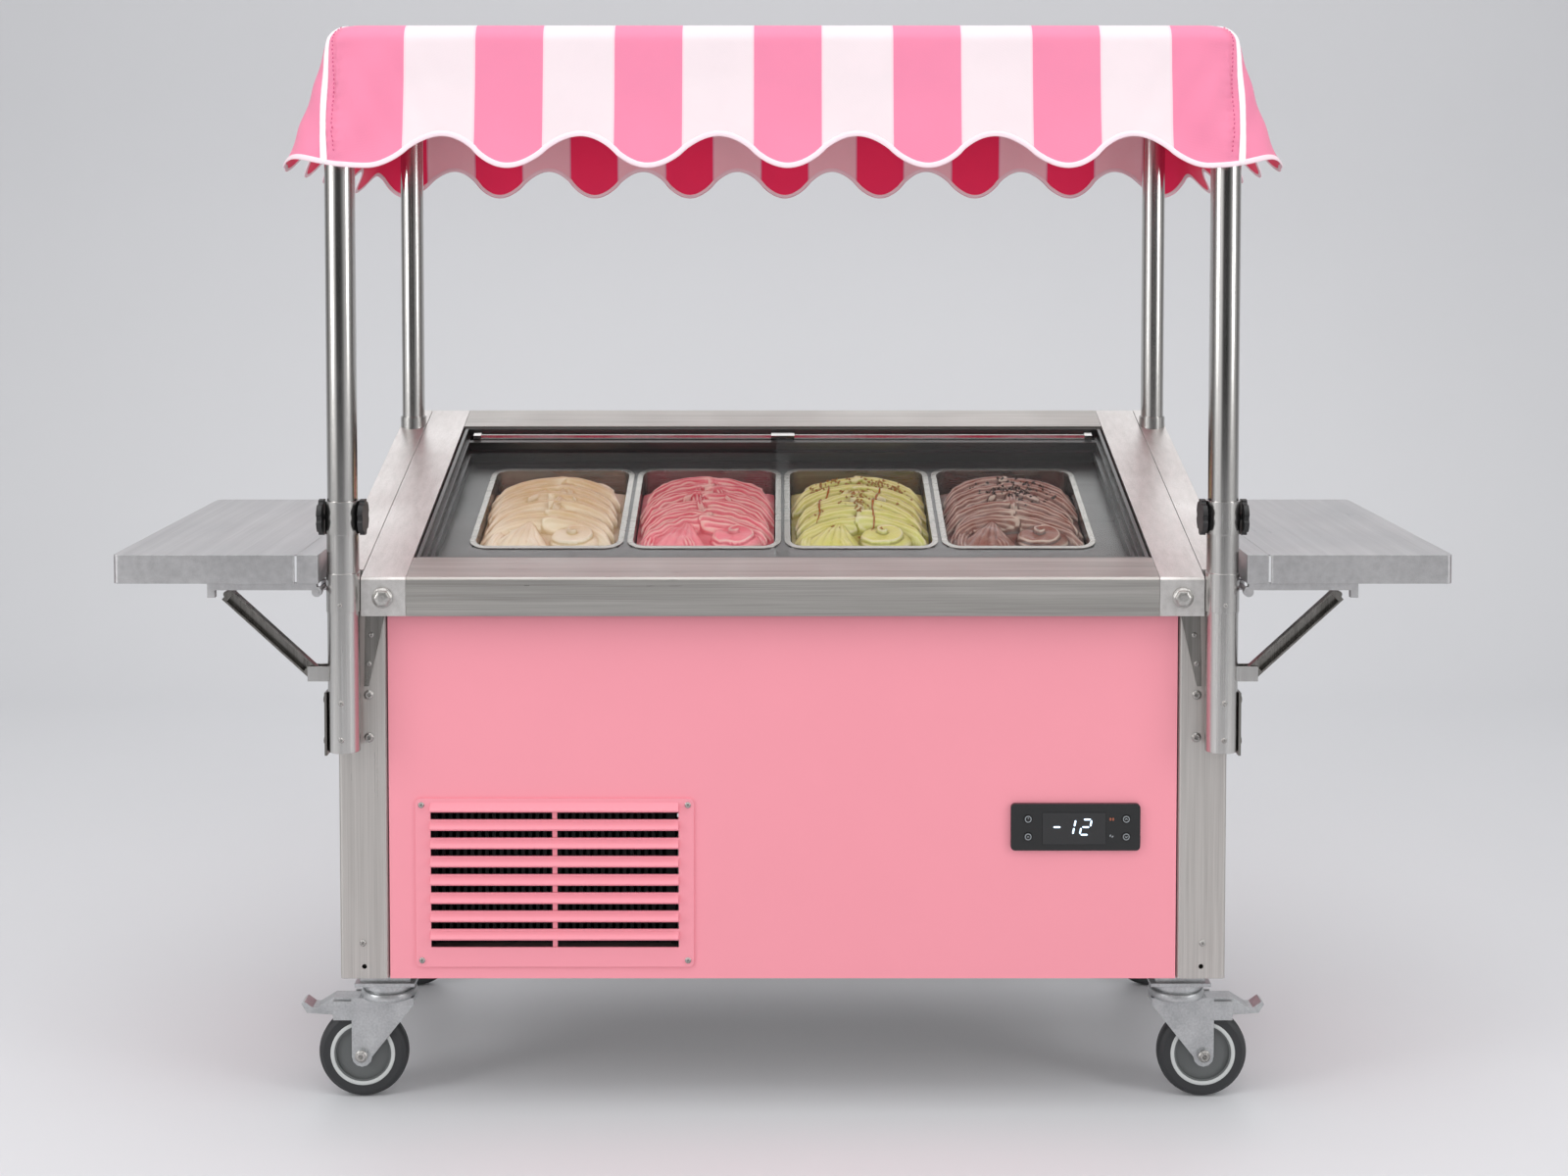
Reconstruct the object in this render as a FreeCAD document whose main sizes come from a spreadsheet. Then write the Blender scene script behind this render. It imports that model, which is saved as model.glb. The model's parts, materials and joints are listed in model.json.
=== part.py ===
import FreeCAD, Part
import math
import os
import re
import Sketcher
from FreeCAD import Placement, Rotation, Vector

# Ice cream push cart. X runs across the cart, -Y is its front, Z is up.
# The origin is on the floor, under the middle of the whole cart.

DIMENSIONS = (
    ("cart_half", 725, "half width over the corner columns"),
    ("column_width", 80, "column, across the cart"),
    ("column_depth", 45, "column, front to back"),
    ("column_round", 7, "rounding of the column edges"),
    ("front_face", -310, "Y of the body's front face"),
    ("rear_face", 380, "Y of the body's rear face"),
    ("body_bottom", 232, "Z of the underside of the body"),
    ("body_top", 836, "Z of the top of columns and panels"),
    ("gauge", 2, "thickness of the steel sheet"),
    ("panel_fold", 15, "folded edge of a panel"),
    ("panel_gap", 2, "gap between a panel and a column"),
    ("frame_tube", 40, "square tube of the base frame"),
    ("frame_wall", 2.5, "wall of the base frame tube"),
    ("grille_low", 252, "Z of the bottom of the vent grille"),
    ("grille_high", 531, "Z of the top of the vent grille"),
    ("grille_left", -600, "X of the left edge of the vent grille"),
    ("grille_right", -145, "X of the right edge of the vent grille"),
    ("grille_round", 9, "corner radius of the vent grille"),
    ("louvre_pitch", 30.2, "distance between louvres"),
    ("louvre_count", 8, "number of louvres"),
    ("louvre_slot", 13, "height of a louvre slot"),
    ("louvre_margin", 25, "from the grille edge to the slots"),
    ("control_left", 372, "X of the left edge of the controller"),
    ("control_right", 583, "X of the right edge of the controller"),
    ("control_low", 446, "Z of the bottom of the controller"),
    ("control_high", 523, "Z of the top of the controller"),
    ("control_round", 7, "corner radius of the controller"),
    ("control_proud", 7, "how far the controller stands out"),
    ("control_depth", 38, "depth of the controller behind the panel"),
    ("button_radius", 7, "radius of a push button"),
    ("button_left", 400, "X of the left pair of buttons"),
    ("button_right", 560, "X of the right pair of buttons"),
    ("button_low", 469, "Z of the lower buttons"),
    ("button_high", 498, "Z of the upper buttons"),
    ("inlet_left", 480, "X of the power inlet's left edge, seen from the front"),
    ("inlet_low", 300, "Z of the power inlet's lower edge"),
    ("vent_low", 300, "Z of the lowest slot in the rear panel"),
    ("vent_pitch", 22, "distance between the slots in the rear panel"),
    ("counter_half", 680, "half width of the counter"),
    ("counter_front", -340, "Y of the counter's front edge"),
    ("counter_edge", 898, "Z of the counter's front edge"),
    ("counter_slope", 15.5, "slope of the counter in degrees"),
    ("counter_length", 750, "length of the counter along its slope"),
    ("well_half", 608, "half width of the well's opening"),
    ("well_near", 78, "from the front edge to the opening, along the slope"),
    ("well_far", 666, "from the front edge to the opening's far side"),
    ("well_depth", 190, "depth of the well below the counter"),
    ("cheek_inner", 681, "X of a cheek's inner side"),
    ("cheek_outer", 729, "X of a cheek's outer side"),
    ("rim_level", 50, "depth of the pan rims below the counter"),
    ("pan_width", 266, "width of a pan over its rim"),
    ("pan_length", 354, "length of a pan over its rim"),
    ("pan_pitch", 272, "distance between pans"),
    ("pan_middle", 396, "middle of the pans along the slope"),
    ("pan_depth", 120, "depth of a pan"),
    ("pan_round", 34, "corner radius of a pan"),
    ("pan_lip", 9, "width of a pan's rim"),
    ("glass", 5, "thickness of a glass lid"),
    ("upper_track", 15, "depth of the upper lid's track"),
    ("lower_track", 31, "depth of the lower lid's track"),
    ("guard_radius", 10, "radius of the guard tube"),
    ("guard_place", 647, "guard tube along the slope"),
    ("guard_level", 19, "guard tube below the counter"),
    ("front_post_x", 708, "X of the front posts"),
    ("front_post_y", -340, "Y of the front posts"),
    ("front_post_radius", 24.15, "radius of a front post"),
    ("rear_post_x", 705, "X of the rear posts"),
    ("rear_post_y", 310, "Y of the rear posts"),
    ("rear_post_radius", 21.2, "radius of a rear post"),
    ("post_wall", 2, "wall of a post"),
    ("front_post_top", 1690, "Z of the top of the front posts"),
    ("rear_post_top", 1652, "Z of the top of the rear posts"),
    ("slide_fit", 0.08, "clearance of a post in its sleeve"),
    ("sleeve_low", 618, "Z of the bottom of a front sleeve"),
    ("sleeve_high", 1022, "Z of the top of a front sleeve"),
    ("sleeve_radius", 25.7, "outer radius of a front sleeve"),
    ("collar_radius", 27, "outer radius of the wide collar"),
    ("collar_low", 845, "Z of the bottom of the wide collar"),
    ("collar_high", 908, "Z of the top of the wide collar"),
    ("bracket_low", 612, "Z of the bottom of a side bracket"),
    ("bracket_high", 714, "Z of the top of a side bracket"),
    ("gusset_inner", 646, "X of a gusset's inner edge at its top"),
    ("gusset_low", 716, "Z of the bottom of a gusset"),
    ("clamp_level", 997, "Z of the clamp knobs"),
    ("clamp_radius", 29, "radius of a clamp knob"),
    ("shelf_inner", 742, "X of a shelf's inner edge"),
    ("shelf_outer", 1070, "X of a shelf's outer edge"),
    ("shelf_front", -370, "Y of a shelf's front edge"),
    ("shelf_rear", 270, "Y of a shelf's rear edge"),
    ("shelf_top", 940, "Z of a shelf's top"),
    ("shelf_edge", 46, "height of a shelf's edge"),
    ("shelf_round", 9, "corner radius of a shelf"),
    ("hinge_x", 745, "X of a shelf's hinge"),
    ("hinge_z", 880, "Z of a shelf's hinge"),
    ("hinge_radius", 4, "radius of a hinge rod"),
    ("strut_x", 755, "X of a strut's lower pivot"),
    ("strut_z", 745, "Z of a strut's lower pivot"),
    ("strut_length", 189, "length of a strut between its pivots"),
    ("strut_angle", 42.6, "angle of a strut above level in degrees"),
    ("strut_width", 22, "width of a strut"),
    ("strut_depth", 14, "depth of a strut's bar"),
    ("arm_depth", 12, "depth of an arm under a shelf"),
    ("arm_length", 175, "from the hinge to the end of an arm"),
    ("lock_level", 958, "Z of the lock knobs"),
    ("caster_x", 662, "X of a caster's swivel axis"),
    ("caster_front", -215, "Y of the front casters"),
    ("caster_rear", 292, "Y of the rear casters"),
    ("caster_trail", 43, "from the swivel axis to the axle"),
    ("wheel_radius", 75, "radius of a wheel"),
    ("wheel_width", 32, "width of a wheel"),
    ("hub_radius", 53, "radius of a hub"),
    ("axle_radius", 6, "radius of an axle"),
    ("fork_top", 172, "Z of the top of a fork's legs"),
    ("fork_end", 17, "radius of the round end of a fork's leg"),
    ("swivel_radius", 44, "radius of a caster's swivel head"),
    ("fork_reach", 20.5, "from the swivel axis to a fork leg, along the axle"),
    ("stem_radius", 8, "radius of a swivel stem"),
    ("pedal_x", 74, "from the swivel axis to the brake pivot"),
    ("pedal_z", 158, "Z of the brake pivot"),
    ("canopy_level", 1534, "Z of the scallop tips, in the middle of the cart"),
    ("canopy_tilt", 3.25, "fall of the canopy to the rear in degrees"),
    ("canopy_middle", 1, "Y of the middle of the canopy at the scallop tips"),
    ("canopy_height", 230, "from the scallop tips to the roof"),
    ("canopy_wide", 794, "half width of the canopy at its hem"),
    ("canopy_deep", 404, "half depth of the canopy at its hem"),
    ("roof_wide", 716, "half width of the canopy's roof"),
    ("roof_deep", 380, "half depth of the canopy's roof"),
    ("hem_round", 70, "corner radius at the hem"),
    ("roof_round", 30, "corner radius at the roof"),
    ("roof_edge", 22, "rounding of the roof's edge"),
    ("cloth", 3, "thickness of the cloth with its seams"),
    ("scallop_depth", 50, "height of a scallop"),
    ("scallop_pitch", 220, "width of a front scallop"),
    ("scallop_shift", 8, "X of the middle scallop at the front"),
    ("rear_pitch", 185, "width of a rear scallop"),
    ("side_pitch", 142, "width of a side scallop"),
    ("frame_inset", 71, "from the hem to the canopy frame, across"),
    ("frame_round", 8, "radius of the canopy frame's tube"),
    ("cooler_left", -575, "X of the condenser's left end"),
    ("cooler_right", -185, "X of the condenser's right end"),
    ("cooler_low", 276, "Z of the condenser's underside"),
    ("cooler_high", 506, "Z of the condenser's top"),
    ("cooler_face", -262, "Y of the condenser's front"),
    ("fan_x", -380, "X of the fan's axis"),
    ("fan_y", -180, "Y of the fan's blades"),
    ("fan_z", 391, "Z of the fan's axis"),
    ("fan_mouth", 108, "radius of the fan's mouth"),
    ("compressor_x", 60, "X of the compressor"),
    ("compressor_y", 60, "Y of the compressor"),
    ("compressor_low", 292, "Z of the compressor's foot plate"),
    ("compressor_high", 430, "Z of the compressor's shoulder"),
    ("compressor_radius", 82, "radius of the compressor"),
)

document = FreeCAD.newDocument("ice_cream_push_cart")
sheet = document.addObject("Spreadsheet::Sheet", "dims")
VALUE = {}
for row, (alias, size, meaning) in enumerate(DIMENSIONS, start=1):
    sheet.set("A%d" % row, alias)
    sheet.set("B%d" % row, str(size))
    sheet.setAlias("B%d" % row, alias)
    sheet.set("C%d" % row, meaning)
document.recompute()
for alias, size, meaning in DIMENSIONS:
    VALUE[alias] = float(sheet.get(alias))

NODES = {}
WORD = re.compile(r"[a-z_]+")
TURNS = {"x": Rotation(Vector(0, 1, 0), 90), "y": Rotation(Vector(1, 0, 0), -90), "z": Rotation()}


def bind(item, prop, text):
    """Bind a property to a sum of the sheet's words."""
    def full(hit):
        word = hit.group(0)
        return "dims." + word if word in VALUE else word
    item.setExpression(prop, WORD.sub(full, str(text)))


def node(name, item):
    """Name a finished sub-part."""
    item.Label = name
    NODES[name] = item
    return item


def place(item, x="0", y="0", z="0"):
    for axis, text in zip("xyz", (x, y, z)):
        bind(item, "Placement.Base." + axis, text)
    return item


def box(x, y, z):
    """A box between two values on each axis."""
    item = document.addObject("Part::Box", "box")
    for size, axis, (low, high) in zip(("Length", "Width", "Height"), "xyz", (x, y, z)):
        bind(item, size, "(%s) - (%s)" % (high, low))
        bind(item, "Placement.Base." + axis, low)
    return item


def rod(axis, radius, ends, x="0", y="0", z="0"):
    """A round bar along one axis, from one value to another on that axis."""
    item = document.addObject("Part::Cylinder", "rod")
    item.Placement = Placement(Vector(), TURNS[axis])
    bind(item, "Radius", radius)
    bind(item, "Height", "(%s) - (%s)" % (ends[1], ends[0]))
    spot = {"x": x, "y": y, "z": z}
    spot[axis] = ends[0]
    return place(item, **spot)


def fuse(*items):
    item = document.addObject("Part::MultiFuse", "joined")
    item.Shapes = list(items)
    return item


def cut(base, *tools):
    item = document.addObject("Part::Cut", "cut")
    item.Base = base
    item.Tool = tools[0] if len(tools) == 1 else fuse(*tools)
    return item


def common(base, tool):
    item = document.addObject("Part::Common", "shared")
    item.Base = base
    item.Tool = tool
    return item


def tube(axis, outer, inner, ends, **spot):
    """A round tube; its bore runs right through."""
    return cut(rod(axis, outer, ends, **spot), rod(axis, inner, ends, **spot))


def mirrored(item, normal=(1, 0, 0)):
    copy = document.addObject("Part::Mirroring", "mirrored")
    copy.Source = item
    copy.Normal = Vector(*normal)
    return copy


def together(*items):
    item = document.addObject("Part::Compound", "set")
    item.Links = list(items)
    return item


def pair(item):
    """A piece on the right and its mirror image on the left."""
    return together(item, mirrored(item))


def on_counter(item):
    """Lay a piece on the sloping counter: its Y runs up the slope, Z square to it."""
    item.Placement = Placement(Vector(), Rotation(Vector(1, 0, 0), 1))
    bind(item, "Placement.Rotation.Angle", "counter_slope")
    return place(item, y="counter_front", z="counter_edge")


def under_canopy(item):
    """Hang a piece in the canopy's own frame, which falls to the rear."""
    item.Placement = Placement(Vector(), Rotation(Vector(-1, 0, 0), 1))
    bind(item, "Placement.Rotation.Angle", "canopy_tilt")
    return place(item, y="canopy_middle", z="canopy_level")


def feature(shape):
    item = document.addObject("Part::Feature", "shape")
    item.Shape = shape
    return item


def sketch_in(body, role):
    plane = [part for part in body.Origin.OriginFeatures if part.Role == role][0]
    sketch = body.newObject("Sketcher::SketchObject", "outline")
    sketch.AttachmentSupport = [(plane, "")]
    sketch.MapMode = "FlatFace"
    return sketch


def draw_outline(sketch, points):
    """A closed outline whose corners are bound to the sheet."""
    count = len(points)
    spots = []
    for index in range(count):
        angle = 2 * math.pi * index / count
        spots.append(Vector(100 * math.cos(angle), 100 * math.sin(angle), 0))
    first = sketch.GeometryCount
    for index in range(count):
        sketch.addGeometry(Part.LineSegment(spots[index], spots[(index + 1) % count]), False)
    for index in range(count):
        after = first + (index + 1) % count
        sketch.addConstraint(Sketcher.Constraint("Coincident", first + index, 2, after, 1))
    for index, (across, up) in enumerate(points):
        for kind, text, start in (("DistanceX", across, spots[index].x),
                                  ("DistanceY", up, spots[index].y)):
            number = sketch.addConstraint(Sketcher.Constraint(kind, -1, 1, first + index, 1, start))
            bind(sketch, "Constraints[%d]" % number, text)


def draw_rounded(sketch, across, up, radius):
    """A rectangle with round corners between two values each way."""
    wide, high, bend = 200.0, 120.0, 20.0
    first = sketch.GeometryCount
    corners = ((wide, 0, -90), (wide, high, 0), (0, high, 90), (0, 0, 180))
    middles = []
    for x, y, start in corners:
        middle = Vector(x - bend if x else bend, y - bend if y else bend, 0)
        middles.append((middle, math.radians(start)))
    starts = [(bend, 0), (wide, bend), (wide - bend, high), (0, high - bend)]
    ends = [(wide - bend, 0), (wide, high - bend), (bend, high), (0, bend)]
    for (ax, ay), (bx, by), (middle, start) in zip(starts, ends, middles):
        sketch.addGeometry(Part.LineSegment(Vector(ax, ay, 0), Vector(bx, by, 0)), False)
        circle = Part.Circle(middle, Vector(0, 0, 1), bend)
        sketch.addGeometry(Part.ArcOfCircle(circle, start, start + math.pi / 2), False)
    for side in range(4):
        line, arc, after = first + 2 * side, first + 2 * side + 1, first + (2 * side + 2) % 8
        sketch.addConstraint(Sketcher.Constraint("Tangent", line, 2, arc, 1))
        sketch.addConstraint(Sketcher.Constraint("Tangent", arc, 2, after, 1))
        sketch.addConstraint(Sketcher.Constraint("Vertical" if side % 2 else "Horizontal", line))
        if side:
            sketch.addConstraint(Sketcher.Constraint("Equal", first + 1, arc))
    number = sketch.addConstraint(Sketcher.Constraint("Radius", first + 1, bend))
    bind(sketch, "Constraints[%d]" % number, radius)
    sides = (("DistanceY", 0, 0, up[0]), ("DistanceX", 1, wide, across[1]),
             ("DistanceY", 2, high, up[1]), ("DistanceX", 3, 0, across[0]))
    for kind, side, start, text in sides:
        number = sketch.addConstraint(Sketcher.Constraint(kind, -1, 1, first + 2 * side, 1, start))
        bind(sketch, "Constraints[%d]" % number, text)


def pad(body, sketch, length, both=False, back=False):
    item = body.newObject("PartDesign::Pad", "pad")
    item.Profile = sketch
    bind(item, "Length", length)
    item.Midplane = both
    item.Reversed = back
    document.recompute()
    return item


def pocket(body, sketch, length, back=False, through=False):
    """A pocket; the volume has to fall, or it points the wrong way."""
    before = body.Shape.Volume
    item = body.newObject("PartDesign::Pocket", "pocket")
    item.Profile = sketch
    bind(item, "Length", length)
    item.Type = "ThroughAll" if through else "Length"
    item.Midplane = through
    item.Reversed = back
    document.recompute()
    if not body.Shape.Volume < before:
        raise RuntimeError("a pocket of %s cuts nothing" % body.Label)
    return item


def new_body():
    return document.addObject("PartDesign::Body", "body")


def prism(role, points, length):
    """An outline drawn on an origin plane and padded both ways."""
    body = new_body()
    sketch = sketch_in(body, role)
    draw_outline(sketch, points)
    pad(body, sketch, length, both=True)
    return body


def rounded_pad(role, across, up, radius, length, back=False):
    body = new_body()
    sketch = sketch_in(body, role)
    draw_rounded(sketch, across, up, radius)
    pad(body, sketch, length, back=back)
    return body


# Height of the sloping counter above a place along it, and how far back that place is
def slope_y(along, under="0"):
    return "counter_front + (%s) * cos(counter_slope) + (%s) * sin(counter_slope)" % (along, under)


def slope_z(along, under="0"):
    return "counter_edge + (%s) * sin(counter_slope) - (%s) * cos(counter_slope)" % (along, under)


def level_at(y):
    """Z of the counter's plane at a given Y."""
    return "counter_edge + ((%s) - counter_front) * tan(counter_slope)" % y


# Base frame and columns
def box_tube(axis, x, y, z):
    """A square tube of the base frame, open at its ends."""
    inner = {"x": x, "y": y, "z": z}
    for name in "xyz":
        if name != axis:
            low, high = inner[name]
            inner[name] = ("(%s) + frame_wall" % low, "(%s) - frame_wall" % high)
    return cut(box(x, y, z), box(inner["x"], inner["y"], inner["z"]))


RAIL_HEIGHT = ("body_bottom", "body_bottom + frame_tube")
FRONT_RAIL = ("front_face + panel_fold + 2", "front_face + panel_fold + 2 + frame_tube")
REAR_RAIL = ("rear_face - panel_fold - 2 - frame_tube", "rear_face - panel_fold - 2")


def rail_tie(rail):
    """A tie from a rail's end, through the column beside it, to the side tube."""
    return box(("cart_half - column_width - 1", "cart_half - 21 - frame_tube"), rail, RAIL_HEIGHT)


def build_base_frame():
    height, front, rear = RAIL_HEIGHT, FRONT_RAIL, REAR_RAIL
    column_x = "cart_half - column_width"
    side_y = ("front_face + column_depth", "rear_face - column_depth")
    side_x = ("cart_half - 21 - frame_tube", "cart_half - 21")
    side = box_tube("y", side_x, side_y, height)
    middle = box_tube("y", ("-frame_tube / 2", "frame_tube / 2"), (front[1], rear[0]), height)
    across = ("-(%s)" % column_x, column_x)
    rails = [box_tube("x", across, span, height) for span in (front, rear)]
    tray = box(("-(%s) + 1" % column_x, column_x + " - 1"), (front[0] + " + 1", rear[1] + " - 1"),
               ("body_bottom + frame_tube", "body_bottom + frame_tube + gauge"))
    return together(fuse(rails[0], rails[1], middle, tray), pair(fuse(side, rail_tie(front), rail_tie(rear))))


def build_columns():
    column = rounded_pad("XY_Plane", ("cart_half - column_width", "cart_half"),
                         ("front_face", "front_face + column_depth"), "column_round",
                         "body_top - body_bottom")
    place(column, z="body_bottom")
    hollow = box(("cart_half - column_width + gauge", "cart_half - gauge"),
                 ("front_face + gauge", "front_face + column_depth - gauge"),
                 ("body_bottom + gauge", "body_top - gauge"))
    bolt_hole = rod("y", "4", ("front_face - 1", "front_face + gauge + 1"),
                    x="cart_half - column_width / 2", z="body_bottom + 20")
    front = cut(column, hollow, bolt_hole, rail_tie(FRONT_RAIL))
    rear = mirrored(front, (0, 1, 0))
    place(rear, y="front_face + rear_face")
    return together(pair(front), pair(rear))


def panel_tray(across, up, y):
    """A sheet with folded edges; its face looks towards -Y."""
    face = box(across, (y, "(%s) + panel_fold" % y), up)
    inner = box(("(%s) + gauge" % across[0], "(%s) - gauge" % across[1]),
                ("(%s) + gauge" % y, "(%s) + panel_fold + 1" % y),
                ("(%s) + gauge" % up[0], "(%s) - gauge" % up[1]))
    return cut(face, inner)


def build_front_panel():
    side = "cart_half - column_width - panel_gap"
    tray = panel_tray(("-(%s)" % side, side), ("body_bottom", "body_top - 2"), "front_face + 1")
    through = ("front_face - 5", "front_face + panel_fold + 5")
    vent = box(("grille_left + 18", "grille_right - 18"), through, ("grille_low + 18", "grille_high - 18"))
    control = box(("control_left + 4", "control_right - 4"), through,
                  ("control_low + 4", "control_high - 4"))
    return cut(tray, vent, control)


def build_rear_panel():
    side = "cart_half - column_width - panel_gap"
    face = box(("-(%s)" % side, side), ("rear_face - 1 - panel_fold", "rear_face - 1"),
               ("body_bottom", "body_top - 2"))
    inner = box(("-(%s) + gauge" % side, "%s - gauge" % side),
                ("rear_face - 2 - panel_fold", "rear_face - 1 - gauge"),
                ("body_bottom + gauge", "body_top - 2 - gauge"))
    holes = [box(("inlet_left + 3", "inlet_left + 57"), ("rear_face - 10", "rear_face + 5"),
                 ("inlet_low + 3", "inlet_low + 47"))]
    for index in range(9):
        low = "vent_low + %d * vent_pitch" % index
        holes.append(box(("-560", "-200"), ("rear_face - 10", "rear_face + 5"), (low, low + " + 7")))
    return cut(face, inner, *holes)


def build_side_panels():
    across = ("cart_half - 4 - panel_fold", "cart_half - 4")
    span = ("front_face + column_depth + panel_gap", "rear_face - column_depth - panel_gap")
    face = box(across, span, ("body_bottom", "body_top - 2"))
    inner = box((across[0] + " - 1", "cart_half - 4 - gauge"),
                (span[0] + " + gauge", span[1] + " - gauge"),
                ("body_bottom + gauge", "body_top - 2 - gauge"))
    return pair(cut(face, inner))


def build_grille():
    """A plate with rows of slots; each slot has a pressed lip above it."""
    plate = rounded_pad("XZ_Plane", ("grille_left", "grille_right"), ("grille_low", "grille_high"),
                        "grille_round", "gauge + 1")
    place(plate, y="front_face + 1")
    slots, lips = [], []
    for index in range(int(VALUE["louvre_count"])):
        top = "grille_high - 22 - %d * louvre_pitch" % index
        ends = ("grille_left + louvre_margin", "grille_right - louvre_margin")
        slots.append(box(ends, ("front_face - 5", "front_face + 5"), (top + " - louvre_slot", top)))
        lip = prism("YZ_Plane", (("0", "0"), ("-8", "1"), ("-11", "4"), ("-8", "9"), ("0", "15")),
                    "grille_right - grille_left - 2 * louvre_margin")
        place(lip, "(grille_left + grille_right) / 2", "front_face - gauge + 0.5", top)
        lips.append(lip)
    bar = box(("(grille_left + grille_right) / 2 - 4", "(grille_left + grille_right) / 2 + 4"),
              ("front_face + 1", "front_face + 4"), ("grille_low + 20", "grille_high - 20"))
    return fuse(cut(plate, *slots), bar, *lips)


# Controller
def build_control_housing():
    body = rounded_pad("XZ_Plane", ("control_left", "control_right"), ("control_low", "control_high"),
                       "control_round", "control_proud")
    place(body, y="front_face + 1")
    back = box(("control_left + 5", "control_right - 5"),
               ("front_face + 1", "front_face + 1 + control_depth"),
               ("control_low + 5", "control_high - 5"))
    hollow = box(("control_left + 7", "control_right - 7"),
                 ("front_face - 3", "front_face + control_depth - 2"),
                 ("control_low + 7", "control_high - 7"))
    window = box(("control_left + 51", "control_left + 155"), ("front_face - 7", "front_face - 4"),
                 ("control_low + 10", "control_high - 14"))
    holes = []
    for x in ("button_left", "button_right"):
        for z in ("button_low", "button_high"):
            holes.append(rod("y", "button_radius + 0.4", ("front_face - 9", "front_face"), x=x, z=z))
    return cut(fuse(body, back), hollow, window, *holes)


def build_button(x, z):
    cap = rod("y", "button_radius", ("front_face - 7", "front_face + 1"), x=x, z=z)
    flange = rod("y", "button_radius + 2", ("front_face - 2.2", "front_face - 0.7"), x=x, z=z)
    return fuse(cap, flange)


# Counter: sloping rails of folded sheet, side cheeks that carry the rear posts
def build_front_rail():
    width = "2 * well_half - 1"
    outer = prism("YZ_Plane", (
        ("counter_front", "body_top"), (slope_y("well_near"), "body_top"),
        (slope_y("well_near"), slope_z("well_near")), (slope_y("4"), slope_z("4")),
        ("counter_front", "counter_edge - 3")), width)
    inner = prism("YZ_Plane", (
        ("counter_front + gauge", "body_top - 1"), (slope_y("well_near - gauge"), "body_top - 1"),
        (slope_y("well_near - gauge"), slope_z("well_near - gauge", "gauge")),
        (slope_y("5"), slope_z("5", "gauge + 0.5")),
        ("counter_front + gauge", "counter_edge - 6")), width + " + 2")
    return cut(outer, inner)


def build_side_rails():
    rear_y, rear_z = slope_y("counter_length"), slope_z("counter_length")
    outer = prism("YZ_Plane", (
        ("counter_front", "body_top"), (rear_y, "body_top"), (rear_y, rear_z),
        (slope_y("4"), slope_z("4")), ("counter_front", "counter_edge - 3")), "counter_half - well_half")
    inner = prism("YZ_Plane", (
        ("counter_front + gauge", "body_top - 1"), (rear_y + " - gauge", "body_top - 1"),
        (rear_y + " - gauge", slope_z("counter_length - gauge", "gauge + 1")),
        (slope_y("5"), slope_z("5", "gauge + 0.5")), ("counter_front + gauge", "counter_edge - 6")),
        "counter_half - well_half - 2 * gauge")
    for item in (outer, inner):
        place(item, "(counter_half + well_half) / 2")
    return pair(cut(outer, inner))


def build_rear_rail():
    width = "2 * well_half - 1"
    rear_y, rear_z = slope_y("counter_length"), slope_z("counter_length")
    return prism("YZ_Plane", (
        (rear_y + " - gauge", "body_top"), (rear_y, "body_top"), (rear_y, rear_z),
        (slope_y("well_far"), slope_z("well_far")), (slope_y("well_far", "45"), slope_z("well_far", "45")),
        (slope_y("well_far + gauge", "45"), slope_z("well_far + gauge", "45")),
        (slope_y("well_far + gauge", "gauge"), slope_z("well_far + gauge", "gauge")),
        (rear_y + " - gauge", slope_z("counter_length - gauge", "gauge + 1"))), width)


def build_cheeks():
    """Hollow boards outside the counter; each carries a rear post in its sleeve."""
    rear_y = "rear_face + 4"
    outer = prism("YZ_Plane", (
        ("front_face", "body_top"), (rear_y, "body_top"), (rear_y, level_at(rear_y)),
        ("front_face", level_at("front_face"))), "cheek_outer - cheek_inner")
    inner = prism("YZ_Plane", (
        ("front_face + gauge", "body_top - 1"), (rear_y + " - gauge", "body_top - 1"),
        (rear_y + " - gauge", level_at(rear_y) + " - gauge - 1"),
        ("front_face + gauge", level_at("front_face") + " - gauge - 0.2")),
        "cheek_outer - cheek_inner - 2 * gauge")
    for item in (outer, inner):
        place(item, "(cheek_outer + cheek_inner) / 2")
    hole = rod("z", "rear_post_radius + slide_fit", ("body_top", "counter_edge + 400"),
               x="rear_post_x", y="rear_post_y")
    return pair(cut(outer, inner, hole))


def build_well_liner():
    outer = box(("-well_half + 10", "well_half - 10"), ("well_near + 10", "well_far - 10"),
                ("-well_depth", "-rim_level - 4"))
    inner = box(("-well_half + 13", "well_half - 13"), ("well_near + 13", "well_far - 13"),
                ("-well_depth + 3", "0"))
    return on_counter(cut(outer, inner))


def build_well_frame():
    """Stepped inner frame: two lid tracks, then the plate that the pans hang in."""
    outer = box(("-well_half + 4", "well_half - 4"), ("well_near + 4", "well_far - 4"),
                ("-rim_level - 4", "-3"))
    steps = []
    for inset, depth in (("10", "-upper_track"), ("16", "-lower_track"), ("22", "-rim_level")):
        steps.append(box(("-well_half + " + inset, "well_half - " + inset),
                         ("well_near + " + inset, "well_far - 8"), (depth, "0")))
    for index in range(4):
        middle = "%g * pan_pitch" % (index - 1.5)
        steps.append(box((middle + " - pan_width / 2 + 7", middle + " + pan_width / 2 - 7"),
                         ("pan_middle - pan_length / 2 + 7", "pan_middle + pan_length / 2 - 7"),
                         ("-rim_level - 5", "-rim_level + 1")))
    track = fuse(
        box(("-well_half + 12", "well_half - 12"), ("guard_place - 37", "guard_place - 14"),
            ("-rim_level - 1", "-lower_track")),
        box(("-well_half + 12", "well_half - 12"), ("guard_place - 26", "guard_place - 14"),
            ("-lower_track - 1", "-upper_track")))
    return on_counter(fuse(cut(outer, *steps), track))


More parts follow.
